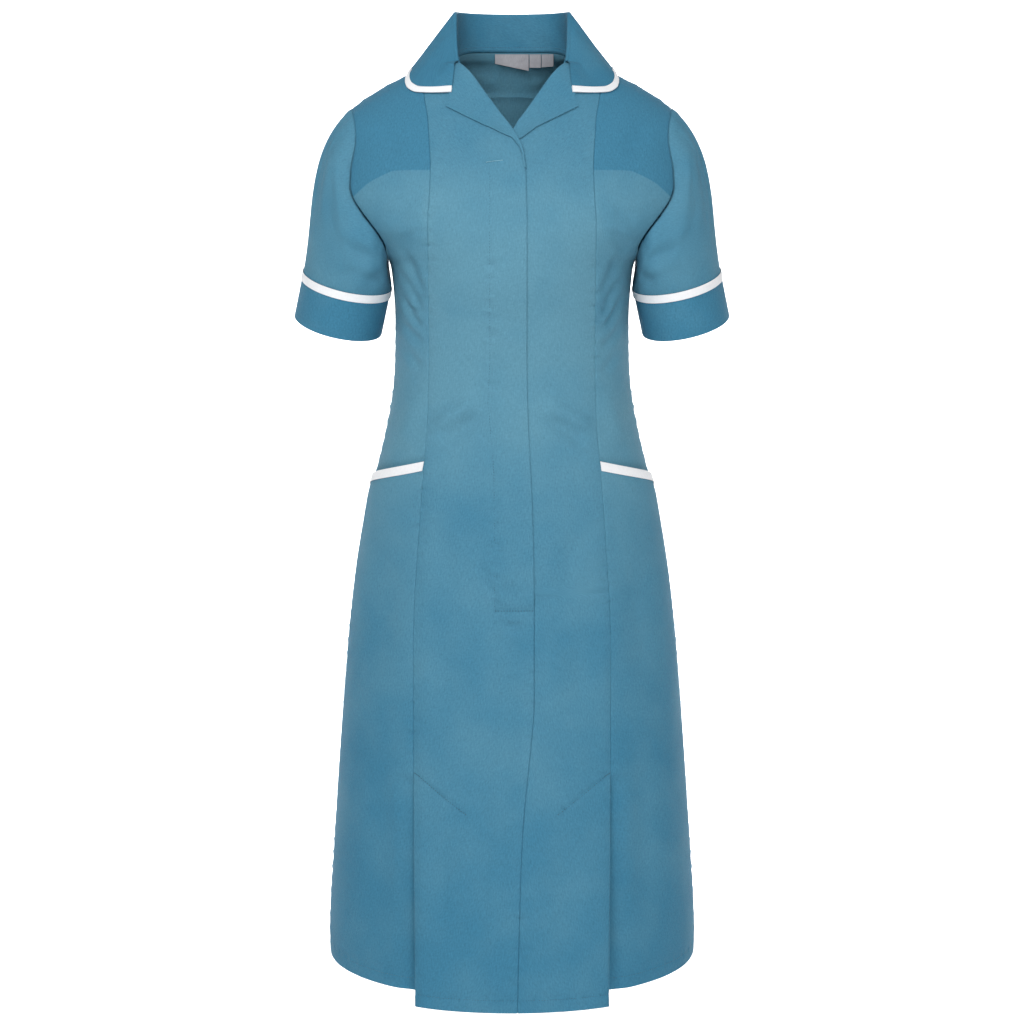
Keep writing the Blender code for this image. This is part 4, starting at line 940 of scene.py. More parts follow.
def sleeve_ring(stations, above_hem, outward=0.0):
    """Points round the sleeve at distances above the cuff's hem."""
    turn = (2.0 * np.pi * stations / ARMHOLE_STATIONS)[None, :, None]
    above_hem = np.asarray(above_hem, float).reshape(-1, 1, 1)
    outward = np.asarray(outward, float)[..., None]
    return (CUFF_CENTRE - cuff_axis() * above_hem
            + CUFF_ACROSS * (CUFF_HALF_WIDTH + outward) * np.cos(turn)
            - CUFF_BACKWARD * (CUFF_HALF_DEPTH + outward) * np.sin(turn))


def sleeve_start(stations):
    """Start of the sleeve round the armhole and the way it leaves the seam."""
    angle, height = armhole(stations)
    before = body_surface(*armhole(stations - 0.5))
    after = body_surface(*armhole(stations + 0.5))
    normal = body_normal(angle, height)
    into_hole = unit(np.cross(normal, after - before))
    low = ((1.0 - np.cos(2.0 * np.pi * stations / ARMHOLE_STATIONS)) / 2.0)[:, None]
    turn = math.radians(SLEEVE_UNDERARM_TURN) * low
    offset = into_hole * np.cos(turn / 2.0) + normal * np.sin(turn / 2.0)
    leave = into_hole * np.cos(turn) + normal * np.sin(turn)
    start = body_surface(angle, height) + offset * mix(SLEEVE_START_GAP, SLEEVE_UNDERARM_GAP, low)
    return start, leave, low


def make_sleeve(name, side):
    stations = np.arange(ARMHOLE_STATIONS, 0.0, -0.16)
    start, leave, low = sleeve_start(stations)
    end = sleeve_ring(stations, [CUFF_DEPTH])[0]
    axis = cuff_axis()
    reach = np.linalg.norm(start - end, axis=-1, keepdims=True)
    push = reach * mix(SLEEVE_CAP_REACH, SLEEVE_UNDERARM_REACH, low)
    rows = []
    for t in steps_between(0.19, GRID) ** SLEEVE_ROW_CURVE:
        rows.append(start * (2 * t ** 3 - 3 * t ** 2 + 1)
                    + leave * (push * (t ** 3 - 2 * t ** 2 + t))
                    + end * (3 * t ** 2 - 2 * t ** 3)
                    + axis * (reach * SLEEVE_CUFF_REACH * (t ** 3 - t ** 2)))
    grid = np.stack(rows)
    top, bottom, _, _ = edge_distance(grid, wrap=True)
    normals = grid_normals(grid, wrap=True)
    outward = -roll_in(top, 0.0005) - roll_in(bottom, 0.0004)
    outward = outward + sleeve_relief(stations[None, :], top, bottom, side)
    grid = grid + normals * outward[..., None]
    tucked = grid[:1] - leave * SLEEVE_TUCK_LENGTH - normals[:1] * SLEEVE_TUCK_DEPTH
    return shell(name, np.concatenate((tucked, grid)), wrap=True, side=side, painted_light=SLEEVE_PAINTED_LIGHT)


def make_cuff(name, side):
    stations = np.arange(ARMHOLE_STATIONS, 0.0, -0.16)
    down = steps_between(CUFF_DEPTH, GRID)
    grid = sleeve_ring(stations, CUFF_DEPTH * (1.0 - down))
    outward = -roll_in(CUFF_DEPTH * down, 0.0004) - roll_in(CUFF_DEPTH * (1.0 - down), 0.0006)
    grid = grid + grid_normals(grid, wrap=True) * outward[:, None, None]
    return shell(name, grid, CUFF_WALL, wrap=True, side=side, painted_light=CUFF_PAINTED_LIGHT)


def make_sleeve_trim(name, side):
    stations = np.arange(ARMHOLE_STATIONS, 0.0, -0.1)
    down = steps_between(SLEEVE_TAPE_WIDTH, FINE_GRID) * SLEEVE_TAPE_WIDTH
    grid = sleeve_ring(stations, CUFF_DEPTH - down)
    lift = LAYER_GAP + TAPE_WALL
    lift = lift - roll_in(np.minimum(down, SLEEVE_TAPE_WIDTH - down), 0.0003)
    grid = grid + grid_normals(grid, wrap=True) * lift[:, None, None]
    return shell(name, grid, TAPE_WALL, wrap=True, side=side)


def collar_stations(count):
    """Stations from the centre back to the front end, closer together by the end."""
    return (len(COLLAR_ROWS) - 1.0) * np.linspace(0.0, 1.0, count) ** 0.9


def collar_column(name, stations):
    values = [getattr(row, name) for row in COLLAR_ROWS]
    return at_row(values, stations)


def collar_profiles(stations):
    """Rows of points from the neck seam up the stand, over the fold and down the fall."""
    radius = collar_column("roll_radius", stations)[:, None]
    lift = collar_column("edge_lift", stations)
    seam = body_point(collar_column("seam_angle", stations),
                      collar_column("seam_height", stations), -WALL / 2.0)
    seam[:, 2] += COLLAR_SEAM_RISE
    fold = np.stack([collar_column("fold_" + axis, stations) for axis in "xyz"], axis=-1)
    edge = body_point(collar_column("edge_angle", stations),
                      collar_column("edge_height", stations), lift)
    tangent = np.gradient(fold, axis=0)
    tangent[0] = (1.0, 0.0, 0.0)
    tangent = unit(tangent)

    def across(vectors):
        return unit(vectors - tangent * np.sum(vectors * tangent, axis=-1, keepdims=True))

    crest = -unit(across(seam - fold) + across(edge - fold))
    outward = unit(np.cross(tangent, crest))
    wrong = np.sum(outward * (edge - seam), axis=-1, keepdims=True) < 0.0
    outward = np.where(wrong, -outward, outward)
    arc = []
    for turn in np.radians(np.linspace(0.0, 180.0, 11)):
        arc.append(fold - outward * (radius * math.cos(turn))
                   - crest * (radius * (1.0 - math.sin(turn))))
    return seam, arc, edge, lift


def collar_fall(arc, edge, lift, share):
    """Points on the fall at a share of the way from the fold to the edge, held off the body."""
    points = clear_of_body(mix(arc[-1], edge, np.reshape(share, (-1, 1))), lift)
    sag = np.sin(np.pi * np.clip(np.ravel(share), 0.0, 1.0)) * COLLAR_FALL_SWELL
    points[..., 1] -= sag * np.clip(-points[..., 1] / 0.03, 0.0, 1.0)
    return points


def binding_share(arc, edge):
    """Share of the fall that the binding covers at each station."""
    length = np.linalg.norm(arc[-1] - edge, axis=-1)
    return COLLAR_BINDING_WIDTH / length


def whole_collar(rows):
    """Left half rows joined with their mirror image, as a grid."""
    left = np.stack(rows, axis=0)
    right = left[:, :0:-1] * np.array((-1.0, 1.0, 1.0))
    return np.concatenate((right, left), axis=1)


def collar_stand_row(seam, arc, share):
    return mix(seam, arc[0], share)


def make_collar(name):
    stations = collar_stations(110)
    seam, arc, edge, lift = collar_profiles(stations)
    last = 1.0 - COLLAR_UNDER_BINDING * binding_share(arc, edge)
    rows = [collar_stand_row(seam, arc, t) for t in np.linspace(0.0, 1.0, 24)[:-1]]
    rows += arc
    rows += [collar_fall(arc, edge, lift, last * t) for t in np.linspace(0.0, 1.0, 30)[1:]]
    grid = whole_collar(rows).transpose(1, 0, 2)
    along = np.linspace(-1.0, 1.0, grid.shape[0])[:, None] * COLLAR_WAVE_REACH
    down = np.linspace(0.0, 1.0, grid.shape[1])[None, :]
    soft = np.sin(np.pi * np.clip((down - 0.03) / 0.27, 0.0, 1.0))
    crease = COLLAR_STAND_WAVE * soft * wander(along * 42.0 + down * 5.0, 7.0)
    across = along * 0.8 + (down - 0.2) * 0.05 - 0.002
    crease = crease + COLLAR_STAND_CREASE * bump_across(across, COLLAR_CREASE_HALF_WIDTH) * soft
    fall = np.sin(np.pi * np.clip((down - 0.45) / 0.5, 0.0, 1.0))
    crease = crease + COLLAR_FALL_WAVE * fall * wander(along * 30.0 + down * 3.0, 9.0)
    grid = grid + grid_normals(grid) * crease[..., None]
    return shell(name, grid, WALL, middle=True, painted_light=COLLAR_PAINTED_LIGHT)


def make_collar_binding(name):
    """Folded binding that wraps the outer edge of the collar."""
    stations = collar_stations(170)
    _, arc, edge, lift = collar_profiles(stations)
    share = binding_share(arc, edge)
    shares = np.linspace(0.0, 1.0, 7)
    rows = [collar_fall(arc, edge, lift, 1.0 - share * (1.0 - t)) for t in shares]
    middle = whole_collar(rows)
    normals = grid_normals(middle)
    rim = unit(middle[-1] - middle[-2])
    outer = [middle[i] + normals[i] * BINDING_LIFT for i in range(len(shares))]
    inner = [middle[i] - normals[i] * BINDING_LIFT for i in range(len(shares))]
    turns = np.radians((-60.0, -30.0, 0.0, 30.0, 60.0))
    round_edge = [middle[-1] + rim * (BINDING_LIFT * math.cos(turn))
                  - normals[-1] * (BINDING_LIFT * math.sin(turn)) for turn in turns]
    loop = np.stack(outer + round_edge + inner[::-1])
    return shell(name, loop.transpose(1, 0, 2), BINDING_WALL, middle=True)


def make_neck_strip(name):
    """Topstitched strip that covers the neck seam inside."""
    stations = np.linspace(0.0, NECK_STRIP_STATIONS, 60)
    seam, arc, _, _ = collar_profiles(stations)
    shares = np.linspace(*NECK_STRIP_SHARES, 7)
    grid = whole_collar([collar_stand_row(seam, arc, t) for t in shares]).transpose(1, 0, 2)
    normals = grid_normals(grid)
    inward = np.where(np.sum(normals * grid, axis=-1, keepdims=True) > 0.0, -normals, normals)
    edge = np.sin(np.pi * np.linspace(0.0, 1.0, 7))[None, :, None] ** 0.4
    grid = grid + inward * (WALL / 2.0 + 0.0002 + 0.0004 * edge)
    return shell(name, grid, 0.0004, middle=True, painted_light=0.10)


def make_facing(name, side):
    """Front facing that rolls over the edge of the neck opening as the lapel."""
    table = LAPEL_ROWS + (LAPEL_END_OVER if side < 0 else LAPEL_END_UNDER)
    keys = np.array([row[0] for row in table])
    rows = np.unique(np.concatenate((np.linspace(keys[0], keys[-1], 90), keys)))
    edge_x = np.interp(rows, keys, [row[1] for row in table])
    edge_height = np.interp(rows, keys, [row[2] for row in table])
    roll_x = at_row([row.edge_x for row in TOP_ROWS], rows)
    roll_height = at_row([row.edge_height for row in TOP_ROWS], rows)
    roll_angle = angle_at(roll_x, roll_height)
    edge_angle = angle_at(edge_x, edge_height)
    roll = body_surface(roll_angle, roll_height)
    edge = body_surface(edge_angle, edge_height)
    normal = body_normal(roll_angle, roll_height)
    into_neck = roll - edge
    into_neck = unit(into_neck - normal * np.sum(into_neck * normal, axis=-1, keepdims=True))
    lift = placket_raise(roll_x, roll_height) if side < 0 else np.zeros_like(roll_x)
    start = lift - WALL / 2.0
    radius = LAPEL_ROLL_RADIUS * mix(LAPEL_TOP_ROLL, 1.0, ease((rows - rows[0]) / LAPEL_TOP_ROWS))
    radius = radius * mix(LAPEL_LOW_ROLL, 1.0, ease((rows[-1] - rows) / LAPEL_LOW_ROWS))
    columns = []
    for turn in np.radians(np.linspace(0.0, 180.0, 9)):
        away = radius * (LAPEL_SEAM_GAP / LAPEL_ROLL_RADIUS + math.sin(turn))
        over = start + radius * (1.0 - math.cos(turn))
        columns.append(roll + into_neck * away[:, None] + normal * over[:, None])
    crest = start + 2.0 * radius
    for t in np.linspace(0.0, 1.0, 26)[1:]:
        angle = mix(roll_angle, edge_angle, t)
        height = mix(roll_height, edge_height, t)
        own_x = body_surface(angle, height)[..., 0]
        under = placket_raise(own_x, height) if side < 0 else np.zeros_like(own_x)
        columns.append(body_point(angle, height, mix(crest, under + LAPEL_EDGE_LIFT, t)))
    return shell(name, np.stack(columns, axis=1), WALL, side=side, middle=True, painted_light=LAPEL_PAINTED_LIGHT)


def make_tab(name, left_x, right_x, left_length, right_length):
    """Blank label or tab that hangs from the neck seam inside the back."""
    seam_height = COLLAR_ROWS[0].seam_height
    t = np.linspace(0.0, 1.0, 14)
    x = mix(left_x, right_x, t)
    length = mix(left_length, right_length, t)
    angle = 180.0 - angle_at(x, seam_height)
    away = body_normal(angle, seam_height) * TAB_STANDOFF
    top = body_surface(angle, seam_height * np.ones_like(x))
    top = top - np.stack((away[:, 0], away[:, 1], np.full_like(x, TAB_TOP_DROP)), axis=-1)
    rows = []
    for fall in np.linspace(0.0, 1.0, 8):
        drop = np.stack((np.zeros_like(x), TAB_TILT * length * fall, -length * fall), axis=-1)
        rows.append(top + drop)
    return shell(name, np.stack(rows), 0.0005, middle=True)


def bump_across(distance, half_width):
    """Section of a crease: a trough of depth 1 with a low ridge on either side."""
    near = distance / half_width
    ridges = np.exp(-(near - 1.9) ** 2) + np.exp(-(near + 1.9) ** 2)
    return np.exp(-near ** 2) - 0.35 * ridges


def crease_sum(creases, x, height):
    """Depth of the creases at points, each fading out towards both of its ends."""
    total = np.zeros_like(x + height)
    for i, crease in enumerate(creases):
        run = crease.end_x - crease.x
        rise = crease.end_height - crease.height
        length = math.hypot(run, rise)
        along = ((x - crease.x) * run + (height - crease.height) * rise) / length ** 2
        across = ((x - crease.x) * rise - (height - crease.height) * run) / length
        across = across + 0.05 * length * math.sin(2.6 * i) * np.sin(np.pi * along)
        fade = ease(along / 0.35) * ease((1.0 - along) / 0.35)
        total = total + CREASE_GAIN * crease.depth * fade * bump_across(across, crease.half_width)
    return total


def pucker(distance, along, seed):
    """Uneven pull of the cloth beside a sewn line."""
    wave = wander(along * 2.0 * np.pi / PUCKER_LENGTH, seed)
    patchy = 0.55 + 0.45 * np.sin(along * 23.0 + seed)
    return PUCKER_DEPTH * wave * patchy * np.exp(-(distance / PUCKER_REACH) ** 2)


def hem_ripple(x, height, hem):
    """Ripple along the stitched hem, strongest on the stitches."""
    above = height - hem - HEM_DEPTH
    pull = np.exp(-(above / 0.004) ** 2)
    return 0.0008 * pull * (wander(x * 380.0, 3.0) - 1.0)


def front_relief(x, height):
    total = -crease_sum(FRONT_CREASES, x, height)
    seam = at_height(PRINCESS_ROWS, PRINCESS_COLUMNS, "x", height)
    closed = ease((height - PLEAT_TOP_HEIGHT) / 0.02) * ease((-0.06 - height) / 0.04)
    total = total + pucker(np.abs(x) - seam, height, 1.0 + np.sign(x)) * (0.35 + closed * 0.65)
    edge = at_height(EDGE_ROWS, EDGE_COLUMNS, "x", height)
    below_fly = ease((-0.595 - height) / 0.02)
    total = total + 0.9 * pucker(x - edge, height, 5.0) * below_fly
    stitch = np.interp(-height, [-z for _, z in PLACKET_STITCH], [px for px, _ in PLACKET_STITCH])
    in_fly = ease((height - FLY_BLEND_HEIGHT) / 0.004) * ease((-0.108 - height) / 0.004)
    total = total - 0.0007 * np.exp(-((x - stitch) / 0.0019) ** 2) * in_fly
    bar = np.exp(-((height - FLY_BAR_HEIGHT) / 0.0022) ** 2) * ease((x + 0.021) / 0.003)
    total = total - 0.0010 * bar * ease((0.026 - x) / 0.002)
    total = total + 0.6 * pucker(x - stitch, height, 8.0) * in_fly
    start, low = PLEAT_STITCH[0], PLEAT_STITCH[-1]
    length = math.hypot(start[0] - low[0], start[1] - low[1])
    run, rise = (low[0] - start[0]) / length, (low[1] - start[1]) / length
    along = (np.abs(x) - start[0]) * run + (height - start[1]) * rise
    across = (np.abs(x) - start[0]) * rise - (height - start[1]) * run
    sewn = ease(along / 0.004) * ease((length + 0.002 - along) / 0.008)
    total = total - 0.0016 * sewn * np.exp(-(across / 0.0024) ** 2)
    total = total + 0.9 * pucker(across, along * 1.4, 11.0) * sewn
    return total


def back_relief(x, height):
    total = -crease_sum(BACK_CREASES, x, height) - crease_sum(BACK_CREASES, -x, height)
    dart = np.abs(x) - at_height(DART_ROWS, DART_COLUMNS, "x", height)
    top, low = DART_ROWS[0][0], DART_ROWS[-1][0]
    sewn = ease((top - height) / 0.05) * ease((height - low) / 0.05)
    total = total - DART_DEPTH * sewn * np.exp(-(dart / DART_HALF_WIDTH) ** 2)
    return total + 1.3 * pucker(dart, height, 2.0) * sewn


def relief(angle, height):
    """Outward height of the creases of the body's cloth."""
    angle, height = np.broadcast_arrays(np.asarray(angle, float), np.asarray(height, float))
    x = body_surface(angle, height)[..., 0]
    turned = np.cos(np.radians(angle))
    front_share = ease(0.5 + turned / 0.12)
    total = mix(back_relief(x, height), front_relief(x, height), front_share)
    side_seam = np.sqrt(np.maximum(0.0, turned * turned)) * 0.16
    total = total * ease(0.2 + side_seam / 0.02)
    total = total + 0.7 * pucker(side_seam, height, 4.0)
    fall = ease((-0.42 - height) / 0.5)
    sway = wander(np.radians(angle) * 7.0, 1.3) * (1.0 - 0.75 * ease(turned / 0.4))
    total = total + 0.0022 * fall * sway * ease(np.abs(turned) / 0.25)
    hem = mix(SIDE_HEM_HEIGHT, CENTRE_HEM_HEIGHT, ease((turned - 0.80) / 0.05))
    return total + hem_ripple(np.radians(angle) * 0.17, height, hem)


def sleeve_relief(stations, top, bottom, side):
    """Outward height of the creases of a sleeve, a little different on each side."""
    length = top + bottom
    share = top / np.maximum(length, 1e-6)
    total = np.zeros_like(top)
    spacing = 2.0 * np.pi * CUFF_HALF_WIDTH / ARMHOLE_STATIONS
    for i, row in enumerate(SLEEVE_CREASES):
        station, start, end_station, end, half_width, depth = row
        run = (end_station - station) * spacing
        rise = (end - start) * length
        reach = np.hypot(run, rise)
        ahead = (stations - station + side * 0.12 * math.sin(3.7 * i)) * spacing
        down = (share - start) * length
        along = (ahead * run + down * rise) / reach ** 2
        across = (ahead * rise - down * run) / reach
        fade = ease(along / 0.35) * ease((1.0 - along) / 0.35)
        total = total - CREASE_GAIN * depth * fade * bump_across(across, half_width)
    turn = 2.0 * np.pi * stations / ARMHOLE_STATIONS
    cap = 0.5 + 0.5 * np.cos(turn)
    head = 0.0007 * cap * np.exp(-((top - 0.006) / 0.005) ** 2)
    gather = 0.00045 * wander(stations * 6.3, 2.0) * np.exp(-(top / 0.011) ** 2)
    return total + head + gather + 0.00025 * wander(stations * 5.1, 6.0) * np.exp(-(bottom / 0.008) ** 2)


def surface_place(side, x, height, lift=0.0):
    """Point on the outer face of a panel that shows in front, by x and height."""
    x, height = np.broadcast_arrays(np.asarray(x, float), np.asarray(height, float))
    angle = angle_at(x, height)
    outward = lift + relief(angle, height)
    if side < 0:
        outward = outward + placket_raise(-x, height)
    return body_point(angle, height, outward)


def centre_place(side, x, height, lift=0.0):
    """Point on the outer face of a centre panel, which stands forward over the pleats."""
    x, height = np.broadcast_arrays(np.asarray(x, float), np.asarray(height, float))
    place = surface_place(side, x, height, lift)
    place[..., 1] -= pleat_stand(height)
    return place


def resample(path, pitch):
    """Points at even distances along a path, and the length between them."""
    lengths = np.concatenate(((0.0,), np.cumsum(np.linalg.norm(np.diff(path, axis=0), axis=-1))))
    count = max(2, int(round(lengths[-1] / pitch)))
    wanted = np.linspace(0.0, lengths[-1], count + 1)
    return np.stack([np.interp(wanted, lengths, path[:, i]) for i in range(3)], axis=-1)


def stitches(name, paths, thread=THREAD_RADIUS, pitch=STITCH_PITCH, length=STITCH_LENGTH):
    """Rows of stitches as short round threads that dip into the cloth at both ends.

    Every path is a pair: its points, and the outward normals of the cloth there.
    """
    points, faces = [], []
    total = 0
    turns = np.radians(np.arange(5) * 72.0)
    for path, normals in paths:
        knots = resample(path, pitch)
        nearest = np.clip(np.searchsorted(
            np.cumsum(np.linalg.norm(np.diff(path, axis=0), axis=-1)),
            np.arange(len(knots)) * pitch), 0, len(path) - 1)
        out = unit(normals[nearest])[:-1]
        ahead = unit(knots[1:] - knots[:-1])
        start = knots[:-1]
        beside = unit(np.cross(out, ahead))
        rings = [start - out * thread]
        for share in (0.2, 0.8):
            for turn in turns:
                rings.append(start + ahead * (length * share)
                             + (beside * math.cos(turn) + out * math.sin(turn)) * thread)
        rings.append(start + ahead * length - out * thread)
        block = np.stack(rings, axis=1)
        for i in range(5):
            k = (i + 1) % 5
            first = total + np.arange(len(start)) * 12
            faces += np.stack((first, first + 1 + k, first + 1 + i), axis=-1).tolist()
            faces += np.stack((first + 1 + i, first + 1 + k, first + 6 + k, first + 6 + i),
                              axis=-1).tolist()
            faces += np.stack((first + 11, first + 6 + i, first + 6 + k), axis=-1).tolist()
        points.append(block.reshape(-1, 3))
        total += block.shape[0] * 12
    points = np.concatenate(points)
    mesh = bpy.data.meshes.new(name)
    mesh.from_pydata(points.tolist(), [], faces)
    mesh.shade_smooth()
    thing = bpy.data.objects.new(name, mesh)
    bpy.context.scene.collection.objects.link(thing)
    return thing


def path_on(place, corners, spacing=0.004):
    """Path over a surface through corners of x and height, with its outward normals."""
    corners = np.asarray(corners, float)
    lengths = np.concatenate(((0.0,), np.cumsum(np.linalg.norm(np.diff(corners, axis=0), axis=-1))))
    at = np.linspace(0.0, lengths[-1], max(3, int(lengths[-1] / spacing)))
    x = np.interp(at, lengths, corners[:, 0])
    height = np.interp(at, lengths, corners[:, 1])
    step = 0.0008
    here = place(x, height)
    across = place(x + step, height) - here
    down = place(x, height - step) - here
    return here, unit(np.cross(down, across))


def front_sewing(side):
    """Paths of the stitches on one centre front."""
    def place(x, height):
        return centre_place(side, x, height, THREAD_RADIUS * 0.4)

    outer_x = side * float(at_height(PRINCESS_ROWS, PRINCESS_COLUMNS, "x", -1.0))
    inner_x = float(at_height(EDGE_ROWS, EDGE_COLUMNS, "x", -1.0))
    hem = CENTRE_HEM_HEIGHT + HEM_DEPTH
    paths = [path_on(place, ((inner_x + side * 0.001, hem), (outer_x - side * 0.003, hem)))]
    if side < 0:
        paths.append(path_on(place, PLACKET_STITCH))
    return paths


def strong_sewing(side):
    """Paths of the stitches that pull the cloth in: the top of a pleat, the end of the fly."""
    def place(x, height):
        return centre_place(side, x, height, THREAD_RADIUS)

    paths = [path_on(place, [(side * x, height) for x, height in PLEAT_STITCH])]
    if side < 0:
        edge_x = float(at_height(EDGE_ROWS, EDGE_COLUMNS, "x", FLY_BAR_HEIGHT))
        paths.append(path_on(place, (PLACKET_STITCH[-1], (edge_x, FLY_BAR_HEIGHT))))
    return paths


def bar_tack(side):
    """Dense short stitches at the outer end of the pleat stitching."""
    def place(x, height):
        return centre_place(side, x, height, THREAD_RADIUS)

    x, height = PLEAT_STITCH[0]
    return path_on(place, ((side * (x - 0.0005), height - 0.0003),
                           (side * (x - 0.0060), height - 0.0043)), 0.001)


def skirt_hem_path(side):
    row = np.array([len(SKIRT_ROWS) - 1.0])
    angle, height, outward = skirt_places(GRID, row)
    angle, height, outward = angle[0, 4:-3], height[0, 4:-3] + HEM_DEPTH, outward[0, 4:-3]
    place = body_point(angle * side, height, outward + relief(angle * side, height) + THREAD_RADIUS * 0.4)
    return place, body_normal(angle * side, height)


def back_hem_path():
    angle = np.linspace(92.0, 268.0, 160)
    height = np.full_like(angle, SIDE_HEM_HEIGHT + HEM_DEPTH)
    place = body_point(angle, height, relief(angle, height) + THREAD_RADIUS * 0.4)
    return place, body_normal(angle, height)


def pocket_tape_paths(side):
    angle, height, outward = skirt_places(FINE_GRID, np.zeros(1))
    paths = []
    for down in (0.0014, POCKET_TAPE_WIDTH - 0.0014):
        low = height - down
        lift = outward + relief(angle * side, low) + LAYER_GAP + TAPE_WALL + THREAD_RADIUS * 0.3
        place = body_point(angle * side, low, lift)[0, 4:-4]
        paths.append((place, body_normal(angle * side, low)[0, 4:-4]))
    return paths


def sleeve_tape_paths(side):
    stations = np.arange(0.0, ARMHOLE_STATIONS + 0.01, 0.2)
    flip = np.array((side, 1.0, 1.0))
    paths = []
    for down in (0.0013, SLEEVE_TAPE_WIDTH - 0.0013):
        lift = LAYER_GAP + TAPE_WALL + THREAD_RADIUS * 0.3
        ring = sleeve_ring(stations, [CUFF_DEPTH - down])[0]
        middle = CUFF_CENTRE - cuff_axis() * (CUFF_DEPTH - down)
        normals = unit(ring - middle)
        paths.append(((ring + normals * lift) * flip, normals * flip))
    return paths


def collar_edge_path():
    stations = collar_stations(120)
    _, arc, edge, lift = collar_profiles(stations)
    share = binding_share(arc, edge)
    rows = [collar_fall(arc, edge, lift, 1.0 - share * t) for t in (0.86, 0.72)]
    middle = whole_collar(rows)
    normals = unit(np.cross(middle[1] - middle[0], np.gradient(middle[0], axis=0)))
    normals = np.where(normals[:, 1:2] * middle[0][:, 1:2] < 0.0, -normals, normals)
    return middle[0] + normals * (BINDING_LIFT + BINDING_WALL), normals


def neck_strip_paths():
    stations = np.linspace(0.0, NECK_STRIP_STATIONS, 60)
    seam, arc, _, _ = collar_profiles(stations)
    paths = []
    for share in (NECK_STRIP_SHARES[0] + 0.02, NECK_STRIP_SHARES[1] - 0.02):
        row = whole_collar([collar_stand_row(seam, arc, share)])[0]
        inward = -row * np.array((1.0, 1.0, 0.0))
        inward = unit(inward)
        paths.append((row + inward * (WALL / 2.0 + 0.0009), inward))
    return paths


def buttonhole_path():
    def place(x, height):
        return centre_place(-1, x, height, THREAD_RADIUS * 1.2)

    return path_on(place, BUTTONHOLE, 0.001)


def node_material(name):
    made = bpy.data.materials.new(name)
    made.use_nodes = True
    return made, made.node_tree.nodes, made.node_tree.links


def add_node(nodes, kind, settings=None, inputs=None):
    made = nodes.new(kind)
    for key, value in (settings or {}).items():
        setattr(made, key, value)
    for key, value in (inputs or {}).items():
        made.inputs[key].default_value = value
    return made


def cloth_noise(tree, coordinates, scale, stretch, detail=2.0):
    """Noise that is finer one way than the other, over coordinates in metres."""
    nodes, links = tree
    place = add_node(nodes, "ShaderNodeMapping", inputs={"Scale": stretch})
    noise = add_node(nodes, "ShaderNodeTexNoise", inputs={"Scale": scale, "Detail": detail})
    links.new(coordinates, place.inputs["Vector"])
    links.new(place.outputs["Vector"], noise.inputs["Vector"])
    return noise.outputs["Fac"]


def weave_height(tree, coordinates, period, turn):
    """Bands of a fine weave."""
    nodes, links = tree
    place = add_node(nodes, "ShaderNodeMapping", inputs={"Rotation": (0.0, 0.0, turn)})
    wave = add_node(nodes, "ShaderNodeTexWave", {"wave_type": "BANDS", "bands_direction": "X"},
                    {"Scale": math.pi / 10.0 / period, "Distortion": 0.6, "Detail": 1.0})
    links.new(coordinates, place.inputs["Vector"])
    links.new(place.outputs["Vector"], wave.inputs["Vector"])
    return wave.outputs["Fac"]


def add_bump(tree, height, distance, strength, under=None):
    nodes, links = tree
    bump = add_node(nodes, "ShaderNodeBump", inputs={"Distance": distance, "Strength": strength})
    links.new(height, bump.inputs["Height"])
    if under is not None:
        links.new(under, bump.inputs["Normal"])
    return bump.outputs["Normal"]


def scaled(tree, value, low, high, from_low=0.0, from_high=1.0):
    nodes, links = tree
    step = add_node(nodes, "ShaderNodeMapRange", inputs={
        "From Min": from_low, "From Max": from_high, "To Min": low, "To Max": high})
    links.new(value, step.inputs["Value"])
    return step.outputs["Result"]


def combine(tree, operation, first, second):
    nodes, links = tree
    step = add_node(nodes, "ShaderNodeMath", {"operation": operation, "use_clamp": True})
    links.new(first, step.inputs[0])
    links.new(second, step.inputs[1])
    return step.outputs["Value"]


def tinted(tree, colour, shade):
    """A colour output multiplied by a grey value output."""
    nodes, links = tree
    step = add_node(nodes, "ShaderNodeMix", {"data_type": "RGBA", "blend_type": "MULTIPLY"})
    step.inputs["Factor"].default_value = 1.0
    links.new(colour, step.inputs[6])
    links.new(shade, step.inputs[7])
    return step.outputs[2]


def set_finish(shader, roughness, specular, sheen, sheen_roughness):
    shader.inputs["Roughness"].default_value = roughness
    shader.inputs["Specular IOR Level"].default_value = specular
    shader.inputs["Sheen Weight"].default_value = sheen
    shader.inputs["Sheen Roughness"].default_value = sheen_roughness


